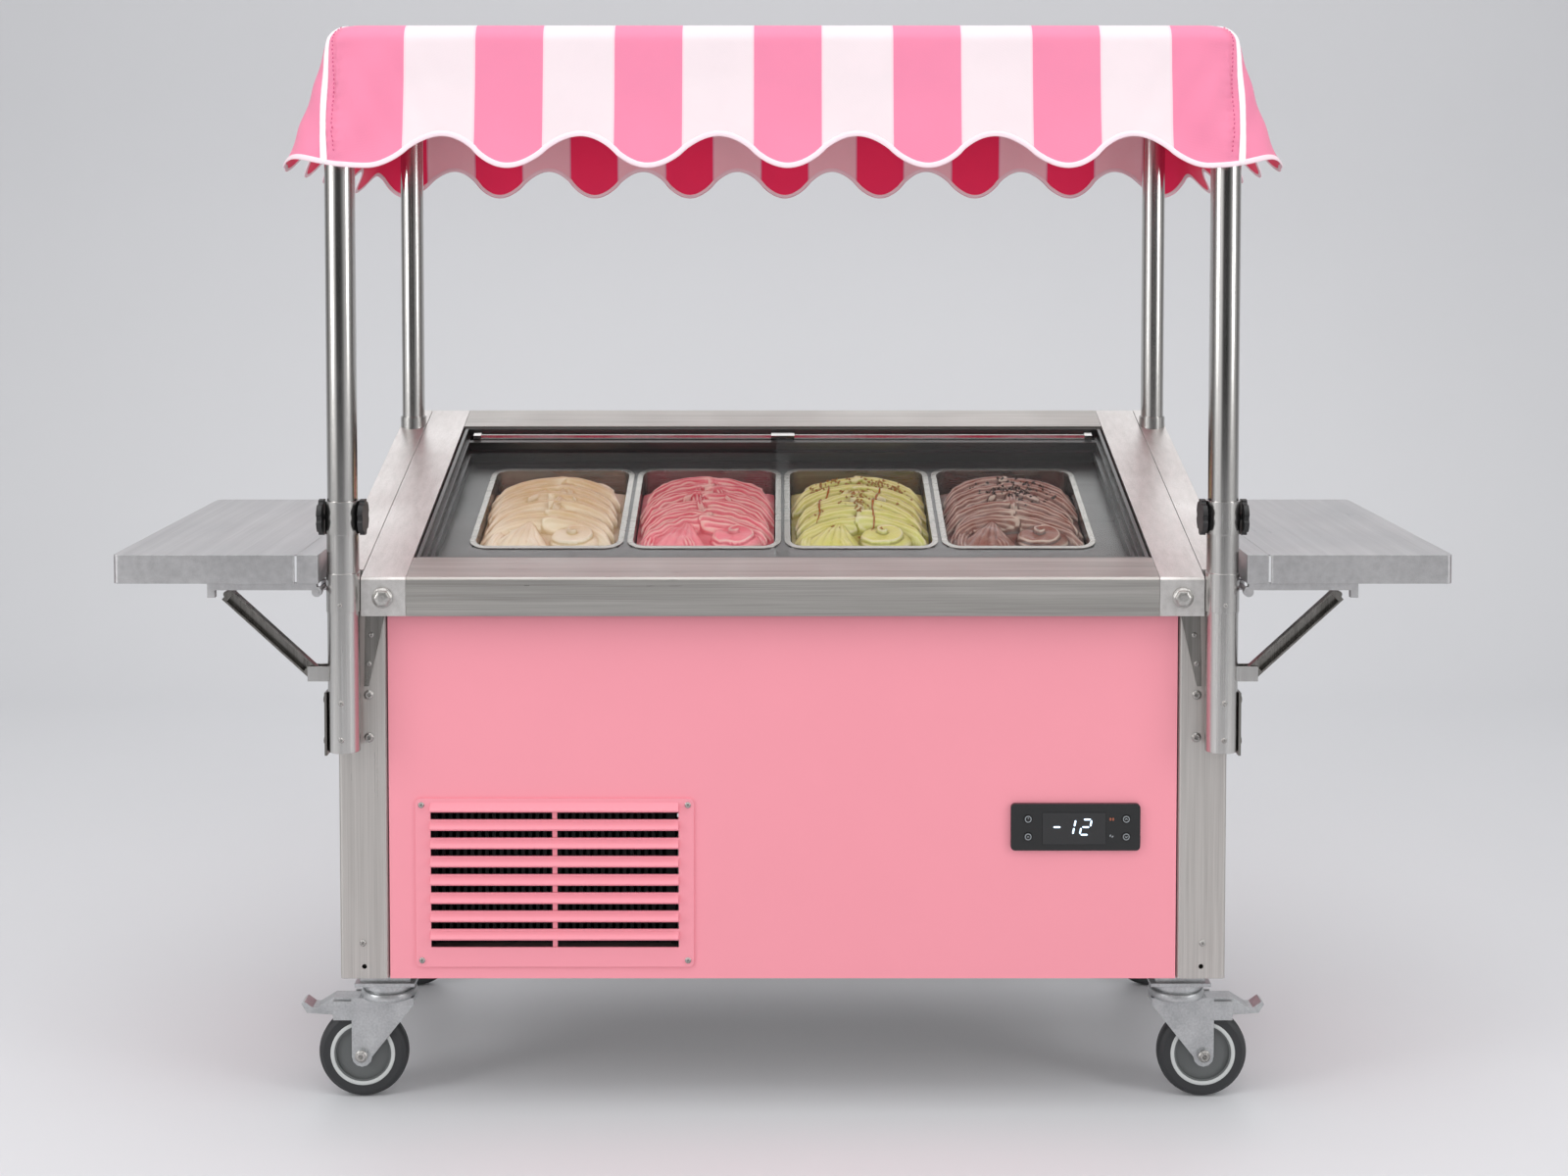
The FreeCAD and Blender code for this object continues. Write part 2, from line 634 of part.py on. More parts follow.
def build_pans():
    """Four pans; each has a flat rim, round corners and a hollow of one depth."""
    pans = []
    for index in range(4):
        body = new_body()
        middle = "%g * pan_pitch" % (index - 1.5)
        spans = (("-pan_width / 2", "pan_width / 2"), ("-pan_length / 2", "pan_length / 2"))
        inset = (("-pan_width / 2 + pan_lip", "pan_width / 2 - pan_lip"),
                 ("-pan_length / 2 + pan_lip", "pan_length / 2 - pan_lip"))
        inner = (("-pan_width / 2 + pan_lip + 1", "pan_width / 2 - pan_lip - 1"),
                 ("-pan_length / 2 + pan_lip + 1", "pan_length / 2 - pan_lip - 1"))
        sketch = sketch_in(body, "XY_Plane")
        draw_rounded(sketch, spans[0], spans[1], "pan_round")
        pad(body, sketch, "1.5")
        sketch = sketch_in(body, "XY_Plane")
        draw_rounded(sketch, inset[0], inset[1], "pan_round - pan_lip")
        pad(body, sketch, "pan_depth", back=True)
        sketch = sketch_in(body, "XY_Plane")
        draw_rounded(sketch, inner[0], inner[1], "pan_round - pan_lip - 1")
        sketch.AttachmentOffset = Placement(Vector(0, 0, 2), Rotation())
        pocket(body, sketch, "pan_depth + 1")
        pans.append(place(body, middle, "pan_middle", "-rim_level"))
    return on_counter(together(*pans))


# Folds of one mound: along the pan, across it, height, and its three half sizes
MOUND_FOLDS = (
    (-0.02, -0.30, -6, 34, 52, 15), (0.30, -0.26, -8, 36, 48, 14), (-0.32, -0.24, -8, 36, 50, 14),
    (0.14, -0.08, -4, 40, 56, 14), (-0.20, -0.04, -5, 40, 60, 14), (0.34, 0.06, -12, 30, 60, 15),
    (-0.36, 0.12, -13, 30, 58, 15), (0.02, 0.14, -7, 44, 58, 16), (0.20, 0.28, -20, 40, 46, 18),
    (-0.16, 0.30, -21, 44, 44, 18),
)


def build_ice_cream(number):
    """A mound: a filling with big folds on it, cut to the inside of its pan."""
    middle = "%g * pan_pitch" % (number - 1.5)
    flip = 1 if number % 2 else -1
    across = ("%s - pan_width / 2 + pan_lip + 1" % middle, "%s + pan_width / 2 - pan_lip - 1" % middle)
    along = ("pan_middle - pan_length / 2 + pan_lip + 1", "pan_middle + pan_length / 2 - pan_lip - 1")
    inside = rounded_pad("XY_Plane", across, along, "pan_round - pan_lip - 1", "pan_depth + 6")
    place(inside, z="-rim_level - pan_depth + gauge")
    filling = prism("YZ_Plane", (
        ("pan_middle - 175", "-rim_level - 110"), ("pan_middle + 175", "-rim_level - 110"),
        ("pan_middle + 175", "-rim_level - 42"), ("pan_middle + 60", "-rim_level - 12"),
        ("pan_middle - 130", "-rim_level + 1"), ("pan_middle - 175", "-rim_level - 12")), "pan_width")
    place(filling, middle)
    mound = common(filling, inside)
    for side, forth, height, wide, long, tall in MOUND_FOLDS:
        fold = document.addObject("Part::Ellipsoid", "fold")
        bind(fold, "Radius1", tall)
        bind(fold, "Radius2", wide)
        bind(fold, "Radius3", long)
        place(fold, "%s + %g * pan_width" % (middle, flip * side),
              "pan_middle + %g * pan_length" % forth, "-rim_level + 4 + (%g)" % height)
        heap = document.addObject("Part::Fuse", "heap")
        heap.Base = mound
        heap.Tool = common(fold, inside)
        mound = heap
    return on_counter(mound)


def build_guard_tube():
    ends, spot = ("-well_half + 24", "well_half - 24"), {"y": "guard_place", "z": "-guard_level"}
    bar = rod("x", "guard_radius", ends, **spot)
    caps = []
    for across in (("-well_half + 22", "-well_half + 36"), ("-22", "22"),
                   ("well_half - 36", "well_half - 22")):
        cap = box(across, ("guard_place - 12", "guard_place + guard_radius + 0.9"),
                  ("-rim_level", "-guard_level + 12"))
        caps.append(cut(cap, rod("x", "guard_radius", ends, **spot)))
    return on_counter(together(bar, *caps))


def build_lid(side):
    """A sliding pane and the clear handle strip at its outer end."""
    if side == "left":
        track, across, front = "lower_track", ("-well_half + 17", "12"), "well_near + 17"
        grip = ("-well_half + 20", "-well_half + 44")
        rear = "guard_place - 27"
    else:
        track, across, front = "upper_track", ("-12", "well_half - 11"), "well_near + 11"
        grip = ("well_half - 38", "well_half - 14")
        rear = "guard_place - 15"
    pane = box(across, (front, rear), ("-(%s)" % track, "-(%s) + glass" % track))
    strip = box(grip, ("pan_middle - 100", "pan_middle + 110"),
                ("-(%s) + glass" % track, "-(%s) + glass + 9" % track))
    return on_counter(together(pane, strip))


# Posts, sleeves, clamps and brackets
def build_posts():
    """Right-hand posts in the canopy's frame of motion: they stand in the sleeves."""
    front = tube("z", "front_post_radius", "front_post_radius - post_wall",
                 ("sleeve_low + 12", "front_post_top"), x="front_post_x", y="front_post_y")
    rear = tube("z", "rear_post_radius", "rear_post_radius - post_wall",
                ("body_top + 6", "rear_post_top"), x="rear_post_x", y="rear_post_y")
    return pair(front), pair(rear)


def build_front_sleeves():
    spot = {"x": "front_post_x", "y": "front_post_y"}
    sleeve = rod("z", "sleeve_radius", ("sleeve_low", "sleeve_high"), **spot)
    collar = rod("z", "collar_radius", ("collar_low", "collar_high"), **spot)
    top = rod("z", "sleeve_radius + 2", ("clamp_level - 26", "sleeve_high + 2"), **spot)
    bore = rod("z", "front_post_radius + slide_fit", ("sleeve_low + 10", "sleeve_high + 4"), **spot)
    screw = rod("x", "5.05", ("front_post_x - 40", "front_post_x + 40"), y="front_post_y", z="clamp_level")
    clevis = []
    for low in ("front_post_y - 14", "front_post_y + 7"):
        clevis.append(box(("front_post_x + 20", "strut_x + 9"), (low, low + " + 3.5"),
                          ("strut_z - 12", "strut_z + 12")))
    pin = rod("y", "4", ("front_post_y - 14", "front_post_y + 10.5"), x="strut_x", z="strut_z")
    body = fuse(sleeve, collar, top, pin, *clevis)
    return pair(cut(body, bore, screw))


def build_rear_sleeves():
    """A tube inside the cheek and a ring that stands on it."""
    spot = {"x": "rear_post_x", "y": "rear_post_y"}
    inner = tube("z", "rear_post_radius + 0.8", "rear_post_radius + slide_fit",
                 ("body_top + 1", level_at("rear_post_y - 22") + " - 4"), **spot)
    ring = tube("z", "rear_post_radius + 3", "rear_post_radius + slide_fit",
                (level_at("rear_post_y - 26"), level_at("rear_post_y + 26") + " + 9"), **spot)
    below = box(("600", "800"), ("0", "counter_length + 40"), ("-60", "0"))
    return pair(together(inner, cut(ring, on_counter(together(below)))))


def build_brackets():
    """Side plates that bolt the sleeves to the columns, and gussets under the counter."""
    face, up = "front_post_x + sleeve_radius", ("bracket_low", "bracket_high")
    plate = box((face, face + " + 4"), ("front_post_y - 13", "front_face + 40"), up)
    spacer = box(("cart_half", face), ("front_face + 4", "front_face + 40"), up)
    bolts = []
    for z in ("bracket_low + 22", "bracket_high - 13"):
        bolts.append(rod("x", "6", (face + " + 4", face + " + 7.5"), y="front_face + 22", z=z))
        bolts.append(rod("x", "5", (face + " + 4", face + " + 7"), y="front_post_y", z=z))
    gusset = prism("XZ_Plane", (
        ("gusset_inner", "body_top"), ("counter_half - 2", "body_top"),
        ("counter_half + 1", "gusset_low"), ("counter_half - 6", "gusset_low")), "4")
    place(gusset, y="front_face - 2")
    return together(pair(fuse(plate, spacer, *bolts)), pair(gusset))


def build_clamp(sign):
    """Two black knobs whose screws press on the post from both sides."""
    def across(side, low, high):
        near, far = sorted((side * low, side * high))
        return ("front_post_x + (%g)" % near, "front_post_x + (%g)" % far)

    solids = []
    for side in (1, -1):
        spot = {"y": "front_post_y", "z": "clamp_level"}
        knob = fuse(rod("x", "clamp_radius", across(side, 29, 37), **spot),
                    rod("x", "5", across(side, 25, 36), **spot))
        notches = []
        for index in range(6):
            angle = math.radians(60 * index)
            notches.append(rod("x", "7", across(side, 28, 38),
                               y="front_post_y + %.4f * (clamp_radius + 3)" % math.cos(angle),
                               z="clamp_level + %.4f * (clamp_radius + 3)" % math.sin(angle)))
        solids.append(cut(knob, *notches))
    item = together(*solids)
    return item if sign > 0 else mirrored(item)


# Side shelves that fold down, with their struts
def build_shelf(sign):
    low = "shelf_top - shelf_edge"
    tray = rounded_pad("XY_Plane", ("shelf_inner + 34.6", "shelf_outer"), ("shelf_front", "shelf_rear"),
                       "shelf_round", "shelf_edge")
    place(tray, z=low)
    span, up = ("shelf_front + gauge", "shelf_rear - gauge"), (low + " - 1", "shelf_top - gauge")
    hollow = box(("shelf_inner + 30", "shelf_outer - gauge"), span, up)
    cap = box(("shelf_inner", "shelf_inner + 34"), ("shelf_front", "shelf_rear"), (low, "shelf_top"))
    inside = box(("shelf_inner + gauge", "shelf_inner + 34 - gauge"), span, up)
    item = together(cut(tray, hollow), cut(cap, inside), *shelf_arms())
    return item if sign > 0 else mirrored(item)


def shelf_arms():
    """Two channels under a shelf; each turns on the hinge rod at its inner end."""
    arms = []
    end = "hinge_x + arm_length"
    for y in ("shelf_front + 2.2", "shelf_rear - 2.2 - arm_depth"):
        span = (y, y + " + arm_depth")
        bar = box(("hinge_x", end), span, ("hinge_z + 3", "shelf_top - shelf_edge"))
        tab = box((end + " - 12", end), span, ("hinge_z - 9", "hinge_z + 4"))
        eye = rod("y", "hinge_radius + 4", span, x="hinge_x", z="hinge_z")
        bore = rod("y", "hinge_radius + 0.05", span, x="hinge_x", z="hinge_z")
        arms.append(cut(fuse(bar, tab, eye), bore))
    return arms


def build_hinge_rails():
    bar = rod("y", "hinge_radius", ("shelf_front + 1", "shelf_rear - 1"), x="hinge_x", z="hinge_z")
    blocks = [box(("cheek_outer", "hinge_x + 6"), (low, low + " + 18"), ("hinge_z - 8", "hinge_z + 8"))
              for low in ("front_face + 4", "-60", "shelf_rear - 40")]
    return pair(fuse(bar, *blocks))


def build_strut(sign):
    """Two bars and the rod between their upper ends; they turn on the lower pins."""
    solids = []
    for y in ("front_post_y - 9", "shelf_rear - 34"):
        bar = box(("0", "strut_length"), ("0", "strut_depth"), ("-strut_width / 2", "strut_width / 2"))
        groove = box(("14", "strut_length - 8"), ("-1", "strut_depth - 2"),
                     ("-strut_width / 2 + 3", "strut_width / 2 - 3"))
        boss = rod("y", "strut_width / 2", ("0", "strut_depth"))
        bore = rod("y", "4.05", ("-1", "strut_depth + 1"))
        shape = cut(fuse(bar, boss), groove, bore)
        shape.Placement = Placement(Vector(), Rotation(Vector(0, -1, 0), 1))
        bind(shape, "Placement.Rotation.Angle", "strut_angle")
        solids.append(place(shape, "strut_x", y, "strut_z"))
    link = rod("y", "5", ("front_post_y - 9", "shelf_rear - 20"),
               x="strut_x + strut_length * cos(strut_angle)", z="strut_z + strut_length * sin(strut_angle)")
    item = fuse(link, *solids)
    return item if sign > 0 else mirrored(item)


def build_strut_brackets():
    """Clevises on the side panels for the rear bars of the struts."""
    cheeks = [box(("cart_half - 4", "strut_x + 9"), (low, low + " + 3.5"), ("strut_z - 12", "strut_z + 12"))
              for low in ("shelf_rear - 38.5", "shelf_rear - 19")]
    foot = box(("cart_half - 4", "cart_half"), ("shelf_rear - 46", "shelf_rear - 8"),
               ("strut_z - 22", "strut_z + 22"))
    pin = rod("y", "4", ("shelf_rear - 38.5", "shelf_rear - 15.5"), x="strut_x", z="strut_z")
    return pair(fuse(foot, pin, *cheeks))


def build_lock_knobs():
    spot = {"y": "shelf_rear + 14", "z": "lock_level"}
    knob = rod("x", "11", ("cheek_outer + 2", "shelf_inner - 1"), **spot)
    screw = rod("x", "4", ("cheek_outer", "cheek_outer + 3"), **spot)
    return pair(fuse(knob, screw))


# Casters; each is made at the right of the swivel axis and then turned to its corner
CORNERS = {"front_left": (-1, "caster_front"), "front_right": (1, "caster_front"),
           "rear_left": (-1, "caster_rear"), "rear_right": (1, "caster_rear")}


def at_corner(item, corner):
    """Move a caster's piece to its corner; on the left it is turned half round."""
    sign, y = CORNERS[corner]
    item = together(item)
    item.Placement = Placement(Vector(), Rotation(Vector(0, 0, 1), 180 if sign < 0 else 0))
    return place(item, "%d * caster_x" % sign, y)


def build_fork(corner):
    """A swivel head over two legs with round ends; the front ones also hold the brake."""
    trail, top = "caster_trail", "fork_top"
    outline = [("-swivel_radius", top), (trail + " + fork_end", top)]
    for index in range(7):
        angle = math.radians(30 * index)
        outline.append((trail + " + %.4f * fork_end" % math.cos(angle),
                        "wheel_radius - 3 - %.4f * fork_end" % math.sin(angle)))
    outline.append(("-swivel_radius", top + " - 12"))
    legs = [place(prism("XZ_Plane", outline, "3"), y=y) for y in ("-fork_reach", "fork_reach")]
    width = ("-fork_reach - 1.5", "fork_reach + 1.5")
    bridge = box(("-swivel_radius", "swivel_radius + 2"), width, (top + " - 4", top))
    head = fuse(rod("z", "swivel_radius", (top + " - 1", top + " + 13")),
                rod("z", "swivel_radius - 4", (top + " + 12", top + " + 16")),
                rod("z", "stem_radius", (top + " + 15", top + " + 42")))
    axle = rod("y", "axle_radius", ("-26", "26"), x=trail, z="wheel_radius")
    nuts = [rod("y", "10", ends, x=trail, z="wheel_radius") for ends in (("-28", "-22"), ("22", "28"))]
    pieces = legs + [bridge, head, axle] + nuts
    if corner.startswith("front"):
        for low in ("-fork_reach - 1.5", "fork_reach - 1.5"):
            pieces.append(box((trail + " + 12", "pedal_x + 17"), (low, low + " + 3"),
                              ("pedal_z - 24", "pedal_z + 8")))
        pieces.append(rod("y", "4", width, x="pedal_x", z="pedal_z"))
    return at_corner(fuse(*pieces), corner)


def build_tyre(corner):
    """A tyre with round shoulders, turned about its axle."""
    body = new_body()
    sketch = sketch_in(body, "XY_Plane")
    draw_outline(sketch, (
        ("hub_radius", "-wheel_width / 2 + 1"), ("wheel_radius - 9", "-wheel_width / 2"),
        ("wheel_radius - 3", "-wheel_width / 2 + 4"), ("wheel_radius", "-wheel_width / 2 + 11"),
        ("wheel_radius", "wheel_width / 2 - 11"), ("wheel_radius - 3", "wheel_width / 2 - 4"),
        ("wheel_radius - 9", "wheel_width / 2"), ("hub_radius", "wheel_width / 2 - 1")))
    turn = body.newObject("PartDesign::Revolution", "turn")
    turn.Profile = sketch
    turn.ReferenceAxis = (sketch, ["V_Axis"])
    turn.Angle = 360
    document.recompute()
    place(body, "caster_trail", "0", "wheel_radius")
    return at_corner(body, corner)


def build_hub(corner):
    """A hub with a raised rim and a bore that runs on the axle."""
    spot = {"x": "caster_trail", "z": "wheel_radius"}
    disc = rod("y", "hub_radius", ("-wheel_width / 2 + 2", "wheel_width / 2 - 2"), **spot)
    dishes = [rod("y", "hub_radius - 8", ends, **spot)
              for ends in (("-wheel_width / 2", "-wheel_width / 2 + 8"),
                           ("wheel_width / 2 - 8", "wheel_width / 2"))]
    boss = rod("y", "15", ("-17", "17"), **spot)
    bore = rod("y", "axle_radius + 0.06", ("-20", "20"), **spot)
    return at_corner(cut(fuse(cut(disc, *dishes), boss), bore), corner)


# Brake lever outline from its pivot: outward, up
LEVER = ((-26, -6), (-26, 12), (18, 12), (44, -4), (52, -4), (66, 6), (71, 2), (62, -13), (20, -16),
         (14, -17), (6, -14), (-4, -7.5))


def build_pedal(corner):
    """A brake lever: a flat cover, a tread that drops outward and a shoe over the tyre."""
    lever = prism("XZ_Plane", [("pedal_x + (%g)" % x, "pedal_z + (%g)" % z) for x, z in LEVER], "34")
    bore = rod("y", "4.06", ("-20", "20"), x="pedal_x", z="pedal_z")
    return at_corner(cut(lever, bore), corner)


def build_caster_plates():
    """Feet under the base frame, each with a plate and the fixed half of the swivel bearing."""
    plates = []
    for sign, y in CORNERS.values():
        x, race_low = "%d * caster_x" % sign, "fork_top + 17.5"
        foot = box((x + " - 42", x + " + 42"), (y + " - 38", y + " + 38"), ("fork_top + 32", "body_bottom"))
        plate = box((x + " - 50", x + " + 50"), (y + " - 45", y + " + 45"), ("fork_top + 27", "fork_top + 33"))
        race = rod("z", "swivel_radius", (race_low, "fork_top + 28"), x=x, y=y)
        bore = rod("z", "stem_radius + 0.06", ("fork_top + 17", "fork_top + 44"), x=x, y=y)
        plates.append(cut(fuse(foot, plate, race), bore))
    return together(*plates)


def wave(level, pitch, count, shift, depth):
    """Edges of a hem from left to right: round lobes joined by round hollows."""
    edges = []
    half = pitch / 2
    start = shift - count * pitch / 2
    for index in range(2 * count + 1):
        left = start - half / 2 + index * half
        bulge = depth / 2 if index % 2 == 0 else -depth / 2
        spots = [(left, level), (left + half / 2, level + bulge), (left + half, level)]
        edges.append(Part.Arc(*[Vector(x, 0, z) for x, z in spots]).toShape())
    return edges


def hem_cutter(pitch, count, shift, near, far, turn=0.0):
    """Everything below a scalloped hem, from one depth to another."""
    depth = VALUE["scallop_depth"]
    edges = wave(depth / 2, pitch, count, shift, depth)
    first, last = edges[0].Vertexes[0].Point, edges[-1].Vertexes[-1].Point
    low = -80
    for a, b in ((last, Vector(last.x, 0, low)), (Vector(last.x, 0, low), Vector(first.x, 0, low)),
                 (Vector(first.x, 0, low), first)):
        edges.append(Part.LineSegment(a, b).toShape())
    face = Part.Face(Part.Wire(edges))
    face.translate(Vector(0, near, 0))
    solid = face.extrude(Vector(0, far - near, 0))
    solid.rotate(Vector(), Vector(0, 0, 1), turn)
    return solid


def rounded_wire(wide, deep, bend, level):
    """A rectangle with round corners, as four lines and four arcs."""
    edges = []
    nook = bend * (1 - math.sqrt(0.5))
    for turn in range(4):
        a, b = (wide, deep) if turn % 2 == 0 else (deep, wide)
        spots = [Vector(x, y, 0) for x, y in
                 ((a, -b + bend), (a, b - bend), (a - nook, b - nook), (a - bend, b))]
        for spot in (Part.LineSegment(spots[0], spots[1]), Part.Arc(spots[1], spots[2], spots[3])):
            edge = spot.toShape()
            edge.rotate(Vector(), Vector(0, 0, 1), 90 * turn)
            edges.append(edge)
    wire = Part.Wire(edges)
    wire.translate(Vector(0, 0, level))
    return wire


def canopy_shell(inset):
    """The closed shape under the cloth's surface, taken in by an inset."""
    v = VALUE
    top = v["canopy_height"] - inset
    levels = ((-20, 0), (top - v["roof_edge"], 0), (top - 0.3 * v["roof_edge"], 0.3), (top, 1))
    wires = []
    for level, ease in levels:
        share = level / v["canopy_height"]
        draw = inset + ease * v["roof_edge"]
        wide = v["canopy_wide"] + (v["roof_wide"] - v["canopy_wide"]) * share - draw
        deep = v["canopy_deep"] + (v["roof_deep"] - v["canopy_deep"]) * share - draw
        bend = v["hem_round"] + (v["roof_round"] - v["hem_round"]) * share - inset
        wires.append(rounded_wire(wide, deep, bend, level))
    return Part.makeLoft(wires, True, True)


def build_canopy_cloth():
    v = VALUE
    shell = canopy_shell(0).cut(canopy_shell(v["cloth"]))
    edge = v["canopy_deep"] - v["hem_round"]
    shell = shell.cut(hem_cutter(v["scallop_pitch"], 7, v["scallop_shift"], -v["canopy_deep"] - 50, -edge))
    shell = shell.cut(hem_cutter(v["rear_pitch"], 9, 4, edge, v["canopy_deep"] + 50))
    side = v["canopy_wide"] - v["hem_round"]
    for turn in (90, -90):
        shell = shell.cut(hem_cutter(v["side_pitch"], 5, 0, -v["canopy_wide"] - 50, -side, turn))
    solid = max(shell.Solids, key=lambda piece: piece.Volume)
    return under_canopy(feature(solid))


def ring_of_tubes(wide, deep, level, radius):
    """A closed ring of round tube at one level of the canopy's frame."""
    across = [rod("x", radius, ("-(%s)" % wide, wide), y=y, z=level) for y in (deep, "-(%s)" % deep)]
    along = [rod("y", radius, ("-(%s)" % deep, deep), x=x, z=level) for x in (wide, "-(%s)" % wide)]
    balls = []
    for x in (wide, "-(%s)" % wide):
        for y in (deep, "-(%s)" % deep):
            ball = document.addObject("Part::Sphere", "corner")
            bind(ball, "Radius", radius)
            balls.append(place(ball, x, y, level))
    return across + along + balls


def build_canopy_frame():
    """Two rings of tube joined at their corners, and bars that lie on the posts."""
    low = ring_of_tubes("canopy_wide - frame_inset", "canopy_deep - 38", "canopy_height - 90", "frame_round")
    high = ring_of_tubes("roof_wide - 42", "roof_deep - 42", "canopy_height - 16", "frame_round")
    v = VALUE
    struts = []
    for x, y in ((-1, -1), (-1, 1), (1, -1), (1, 1)):
        foot = Vector(x * (v["canopy_wide"] - v["frame_inset"]), y * (v["canopy_deep"] - 38),
                      v["canopy_height"] - 90)
        head = Vector(x * (v["roof_wide"] - 42), y * (v["roof_deep"] - 42), v["canopy_height"] - 16)
        run = head - foot
        struts.append(feature(Part.makeCylinder(v["frame_round"] - 1, run.Length, foot, run)))
    bars = [rod("y", "frame_round + 1", ("-canopy_deep + 40", "canopy_deep - 40"), x=x,
                z="canopy_height - 90") for x in ("-front_post_x", "front_post_x", "-240", "240")]
    return under_canopy(fuse(*low, *high, *struts, *bars))


# Cooling unit behind the grille and the power inlet at the rear
def build_condenser():
    up, front = ("cooler_low", "cooler_high"), "cooler_face"
    core = box(("cooler_left", "cooler_right"), (front, front + " + 40"), up)
    slots = []
    for index in range(32):
        left = "cooler_left + 4 + %d * 12" % index
        slots.append(box((left, left + " + 6"), (front + " - 1", front + " + 36"),
                         ("cooler_low + 4", "cooler_high - 4")))
    plates = [box(across, (front + " - 6", front + " + 46"), up)
              for across in (("cooler_left - 8", "cooler_left"), ("cooler_right", "cooler_right + 8"))]
    return fuse(cut(core, *slots), *plates)


def build_fan_shroud():
    """A housing with a round mouth and the motor on its arm."""
    left, right, back = "fan_x - 120", "fan_x + 120", "cooler_face + 90"
    shell = box((left, right), ("cooler_face + 40.5", back), ("cooler_low", "cooler_high"))
    mouth = rod("y", "fan_mouth", ("cooler_face + 39", back + " + 2"), x="fan_x", z="fan_z")
    arm = box((left, right), (back + " + 22", back + " + 30"), ("fan_z - 5", "fan_z + 5"))
    stays = [box(across, (back, back + " + 30"), ("fan_z - 10", "fan_z + 10"))
             for across in ((left, left + " + 8"), (right + " - 8", right))]
    motor = rod("y", "34", (back + " + 20", back + " + 64"), x="fan_x", z="fan_z")
    return fuse(cut(shell, mouth), arm, motor, *stays)


def build_fan():
    """A hub with five twisted blades."""
    hub = rod("y", "20", ("fan_y - 20", "fan_y + 24"), x="fan_x", z="fan_z")
    spin = Vector(VALUE["fan_x"], VALUE["fan_y"], VALUE["fan_z"])
    blades = []
    for index in range(5):
        blade = Part.makeBox(80, 44, 2, Vector(16, -22, -1))
        blade.rotate(Vector(), Vector(1, 0, 0), 62)
        blade.rotate(Vector(), Vector(0, 1, 0), 72 * index)
        blade.translate(spin)
        blades.append(feature(blade))
    return fuse(hub, *blades)


def build_compressor():
    """A round can with a domed lid, on a foot plate with four rubber feet."""
    x, y, low = "compressor_x", "compressor_y", "compressor_low"
    can = rod("z", "compressor_radius", (low + " + 8", "compressor_high"), x=x, y=y)
    dome = document.addObject("Part::Ellipsoid", "dome")
    bind(dome, "Radius1", "38")
    bind(dome, "Radius2", "compressor_radius")
    bind(dome, "Radius3", "compressor_radius")
    place(dome, x, y, "compressor_high")
    foot = box((x + " - 110", x + " + 110"), (y + " - 100", y + " + 100"), (low, low + " + 9"))
    feet = [rod("z", "12", ("body_bottom + frame_tube + gauge", low + " + 1"), x=x + across, y=y + along)
            for across in (" - 94", " + 94") for along in (" - 84", " + 84")]
    return fuse(can, dome, foot, *feet)


def build_inlet():
    """A recessed power inlet with three pins."""
    left, low, back = "inlet_left", "inlet_low", "rear_face"
    frame = box((left, left + " + 60"), (back + " - 1", back + " + 3"), (low, low + " + 50"))
    body = box((left + " + 4", left + " + 56"), (back + " - 32", back), (low + " + 4", low + " + 46"))
    well = box((left + " + 12", left + " + 48"), (back + " - 22", back + " + 5"),
               (low + " + 12", low + " + 38"))
    pins = []
    for across, up in (("20", "18"), ("29", "26"), ("38", "18")):
        x, z = left + " + " + across, low + " + " + up
        pins.append(box((x, x + " + 2"), (back + " - 23", back + " - 6"), (z, z + " + 6")))
    return fuse(cut(fuse(frame, body), well), *pins)


# Bolt and screw heads on a column: X, Z, radius, and how far out their seat is
COLUMN_HEADS = ((674, 701, 8, 0), (674, 631, 8, 0), (673, 753, 4, 4), (669, 800, 4, 4), (687, 291, 5, 0))


def build_fasteners():
    """Heads of the bolts and screws on the columns, rails and grille."""
    heads = []
    for side in (1, -1):
        for x, z, radius, seat in COLUMN_HEADS:
            ends = ("front_face - 3 - %g" % seat, "front_face - %g" % seat)
            heads.append(rod("y", radius, ends, x="%g" % (side * x), z="%g" % z))
        for radius, ends in (("17", ("counter_front - 3", "counter_front")),
                             ("11", ("counter_front - 11", "counter_front - 3"))):
            heads.append(rod("y", radius, ends, x="%g" % (side * 645), z="866"))
    for x in ("grille_left + 10", "grille_right - 10"):
        for z in ("grille_low + 11", "grille_high - 11"):
            heads.append(rod("y", "5", ("front_face - 3.5", "front_face - 2"), x=x, z=z))
    return together(*heads)


